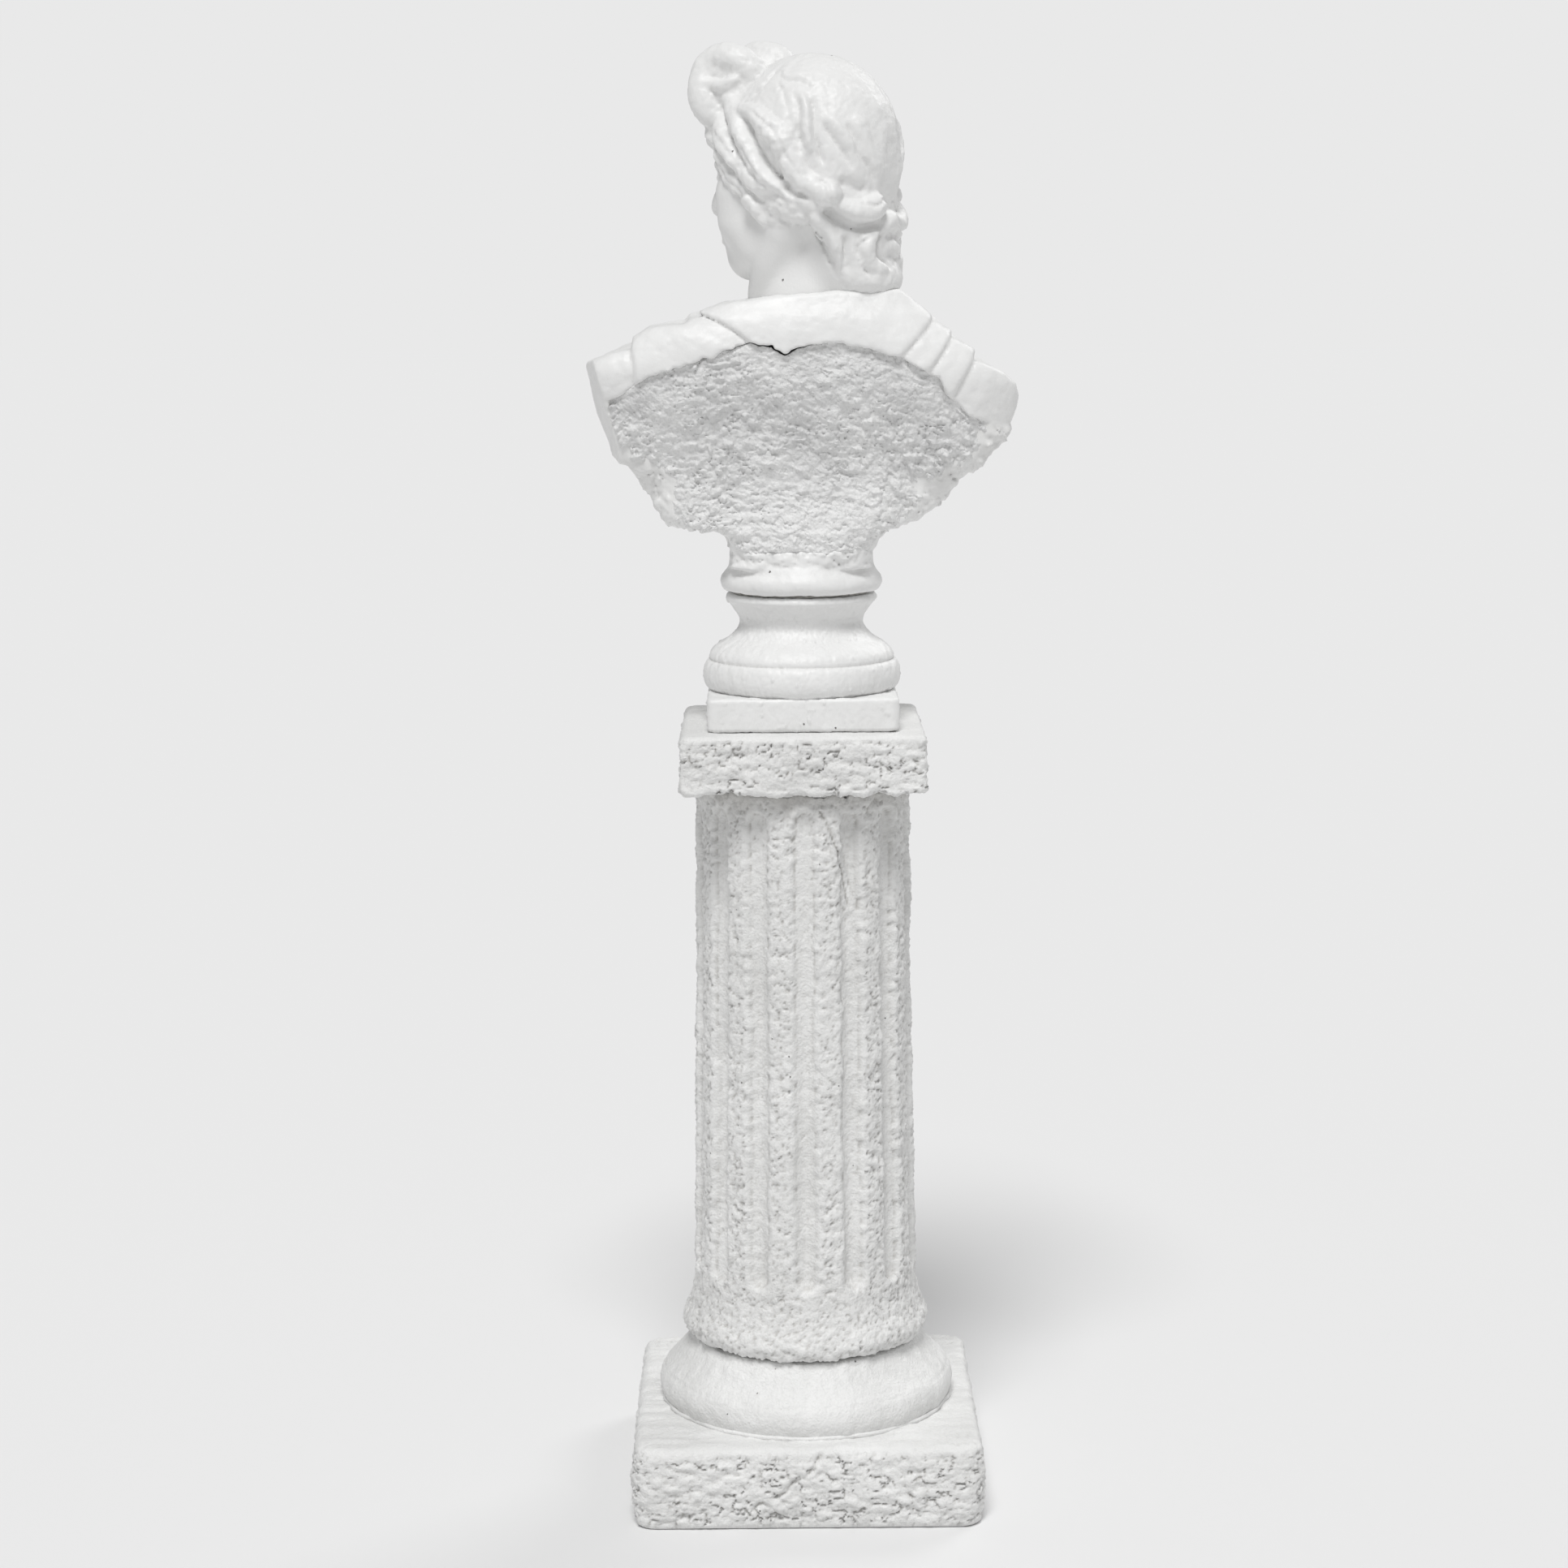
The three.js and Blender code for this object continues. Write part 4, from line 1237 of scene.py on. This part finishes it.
def combed(p):
    """The lines in the hair, the comb's fine marks, lumps, and the mould's seam down its back."""
    azimuth = np.degrees(np.arctan2(np.abs(p[:, 0]), SCALP_BACK - p[:, 1]))
    bound = np.array(HAIRLINE)
    inside = np.clip((p[:, 2] - np.interp(azimuth, bound[:, 0], bound[:, 1])) / 2 + 1, 0, 1)
    spot = np.stack([azimuth * ROUND, p[:, 2]], axis=1)
    right_side = np.clip(-p[:, :1] / 5, 0, 1)
    drift = 0.5 * wobble(p, 6, 251)[:, :2] + 3.5 * right_side * wobble(p, 18, 257)[:, :2]
    height = np.zeros(len(p))
    for route, depth, width in LINES:
        line = smooth_line(np.array(route) * (ROUND, 1), 3)
        margin = 3 * width
        near = ((spot > line.min(axis=0) - margin) & (spot < line.max(axis=0) + margin)).all(axis=1)
        away, along = line_distance(spot[near] + drift[near], line)
        height[near] -= depth * bump_shape(away, width) * np.clip(6 * along * (1 - along) + 0.15, 0, 1)
    polar = np.stack([azimuth * ROUND, p[:, 0] * 0, p[:, 2]], axis=1) + 1.5 * wobble(p, 12, 231)
    height += 0.12 * layers(polar, (1.5, 9, 14), 241, 2) + 0.18 * layers(p, 5, 243, 3)
    height += sandy(p, 2.2, 0.5, 249)
    rolled = np.clip((118 - azimuth) / 10, 0, 1) * np.clip((76 - p[:, 2]) / 6, 0, 1)
    height += 0.55 * rolled * layers(polar, (3.4, 9, 4.2), 253, 2)
    seam = spaced([(14, 34, 92), (12, 38, 80), (9, 41, 68), (6, 42, 55), (2, 42, 44)], 2)
    away, _ = line_distance(p, seam + 1.2 * wobble(seam, 7))
    height += 0.5 * bump_shape(away, 1.6) * (1 + 0.8 * noise(p, 2.4, 247))
    return inside * height


def model_hair(clay):
    hair_cap(clay)
    hair_roll(clay)
    hair_nape(clay)
    hair_bow(clay)
    clay.near_surface(combed, 2.8)


def head():
    clay = Clay((-46, -52, -1.5), (46, 50, 112), 0.7)
    model_face(clay)
    model_neck(clay)
    model_hair(clay)
    x, y, z = clay.everywhere()
    clay.field = np.maximum(clay.field, 0.05 - z).astype(np.float32)
    hole = np.maximum(np.hypot(x, y) - NECK_BORE, z - NECK_BAR_TOP)
    clay.field = np.maximum(clay.field, -hole).astype(np.float32)
    points, quads = clay.skin()
    c, s = math.cos(NECK_YAW), math.sin(NECK_YAW)
    turn = np.array([[c, -s, 0], [s, c, 0], [0, 0, 1]])
    points = points @ turn.T + NECK_AT
    piece = made("head_cast", points, quads, SMOOTH_PAINT, "bust", "plaster", "head")
    mark_hollows(piece, 4, 0.7)


# ---- Pieces, camera and light ----

def dress_bars():
    for name in ("column_rod", "locating_dowel", "bust_dowel", "neck_dowel"):
        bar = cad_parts[name]
        bar.data.materials.clear()
        bar.data.materials.append(STEEL)


# The camera: its place in metres, and its right and up directions.
CAMERA_AT = (0.0142, 1.3018, 0.5071)
CAMERA_RIGHT = (-0.99996, 0.00615, -0.00695)
CAMERA_UP = (-0.00784, -0.15920, 0.98721)
FULL_FRAME = 36
LENS = 72.8


def camera():
    data = bpy.data.cameras.new("camera")
    data.sensor_width = FULL_FRAME
    data.lens = LENS
    data.clip_end = 20
    right = Vector(CAMERA_RIGHT)
    up = Vector(CAMERA_UP)
    back = right.cross(up)
    view = bpy.data.objects.new("camera", data)
    rotation = Matrix((right, up, back)).transposed().to_4x4()
    view.matrix_world = Matrix.Translation(CAMERA_AT) @ rotation
    bpy.context.scene.collection.objects.link(view)
    bpy.context.scene.camera = view


def sunlight(name, place, strength, softness):
    """Light from the side that place lies on, as from a wide soft box. Softness is its width in degrees."""
    light = bpy.data.lights.new(name, "SUN")
    light.energy = strength
    light.angle = math.radians(softness)
    lamp = bpy.data.objects.new(name, light)
    bpy.context.scene.collection.objects.link(lamp)
    lamp.rotation_euler = Vector(place).to_track_quat("Z", "Y").to_euler()


SKY_STRENGTH = 0.35
BACKDROP_GREY = 0.815  # as bright as the lit floor, so that no horizon shows
FLOOR_GREY = 0.8
FLOOR_REACH = 40


def backdrop():
    """A white sky that lights the piece, and a plain backdrop that only the camera sees."""
    world = bpy.data.worlds.new("studio")
    world.use_nodes = True
    tree = world.node_tree
    sky = tree.nodes["Background"]
    fill_inputs(tree, sky, {"Color": (1, 1, 1, 1), "Strength": SKY_STRENGTH})
    plain = node_of(tree, "ShaderNodeBackground", {"Color": (*(BACKDROP_GREY,) * 3, 1)})
    seen = node_of(tree, "ShaderNodeLightPath").outputs["Is Camera Ray"]
    either = node_of(tree, "ShaderNodeMixShader", {0: seen, 1: sky.outputs[0], 2: plain.outputs[0]})
    fill_inputs(tree, tree.nodes["World Output"], {"Surface": either.outputs[0]})
    bpy.context.scene.world = world


def pale_floor():
    corners = [(x * FLOOR_REACH, y * FLOOR_REACH, 0) for x, y in ((-1, -1), (1, -1), (1, 1), (-1, 1))]
    mesh = bpy.data.meshes.new("floor")
    mesh.from_pydata(corners, [], [(0, 1, 2, 3)])
    floor = bpy.data.objects.new("floor", mesh)
    material, tree, shader = new_material("pale_floor")
    grey = (*(FLOOR_GREY,) * 3, 1)
    fill_inputs(tree, shader, {"Base Color": grey, "Roughness": 0.8, "Specular IOR Level": 0})
    mesh.materials.append(material)
    bpy.context.scene.collection.objects.link(floor)


def studio():
    backdrop()
    sunlight("key", place=(0.14, 1.0, 1.7), strength=2.06, softness=20)
    sunlight("front", place=(-0.9, -1.0, 0.9), strength=0.6, softness=25)
    pale_floor()
    bpy.context.scene.view_settings.view_transform = "Standard"


camera()
studio()
base_plinth()
base_moulding()
shaft()
abacus()
joint_bed("plinth_mortar", 61.6, "column", painted=True)
joint_bed("base_mortar", 45.5, "column")
joint_bed("cap_mortar", 43.6, "column", painted=True)
socle()
joint_bed("socle_plaster", 28.4, "bust")
torso()
back_fill()
head()
joint_bed("neck_plaster", 20.4, "bust", hole=3.6)
dress_bars()
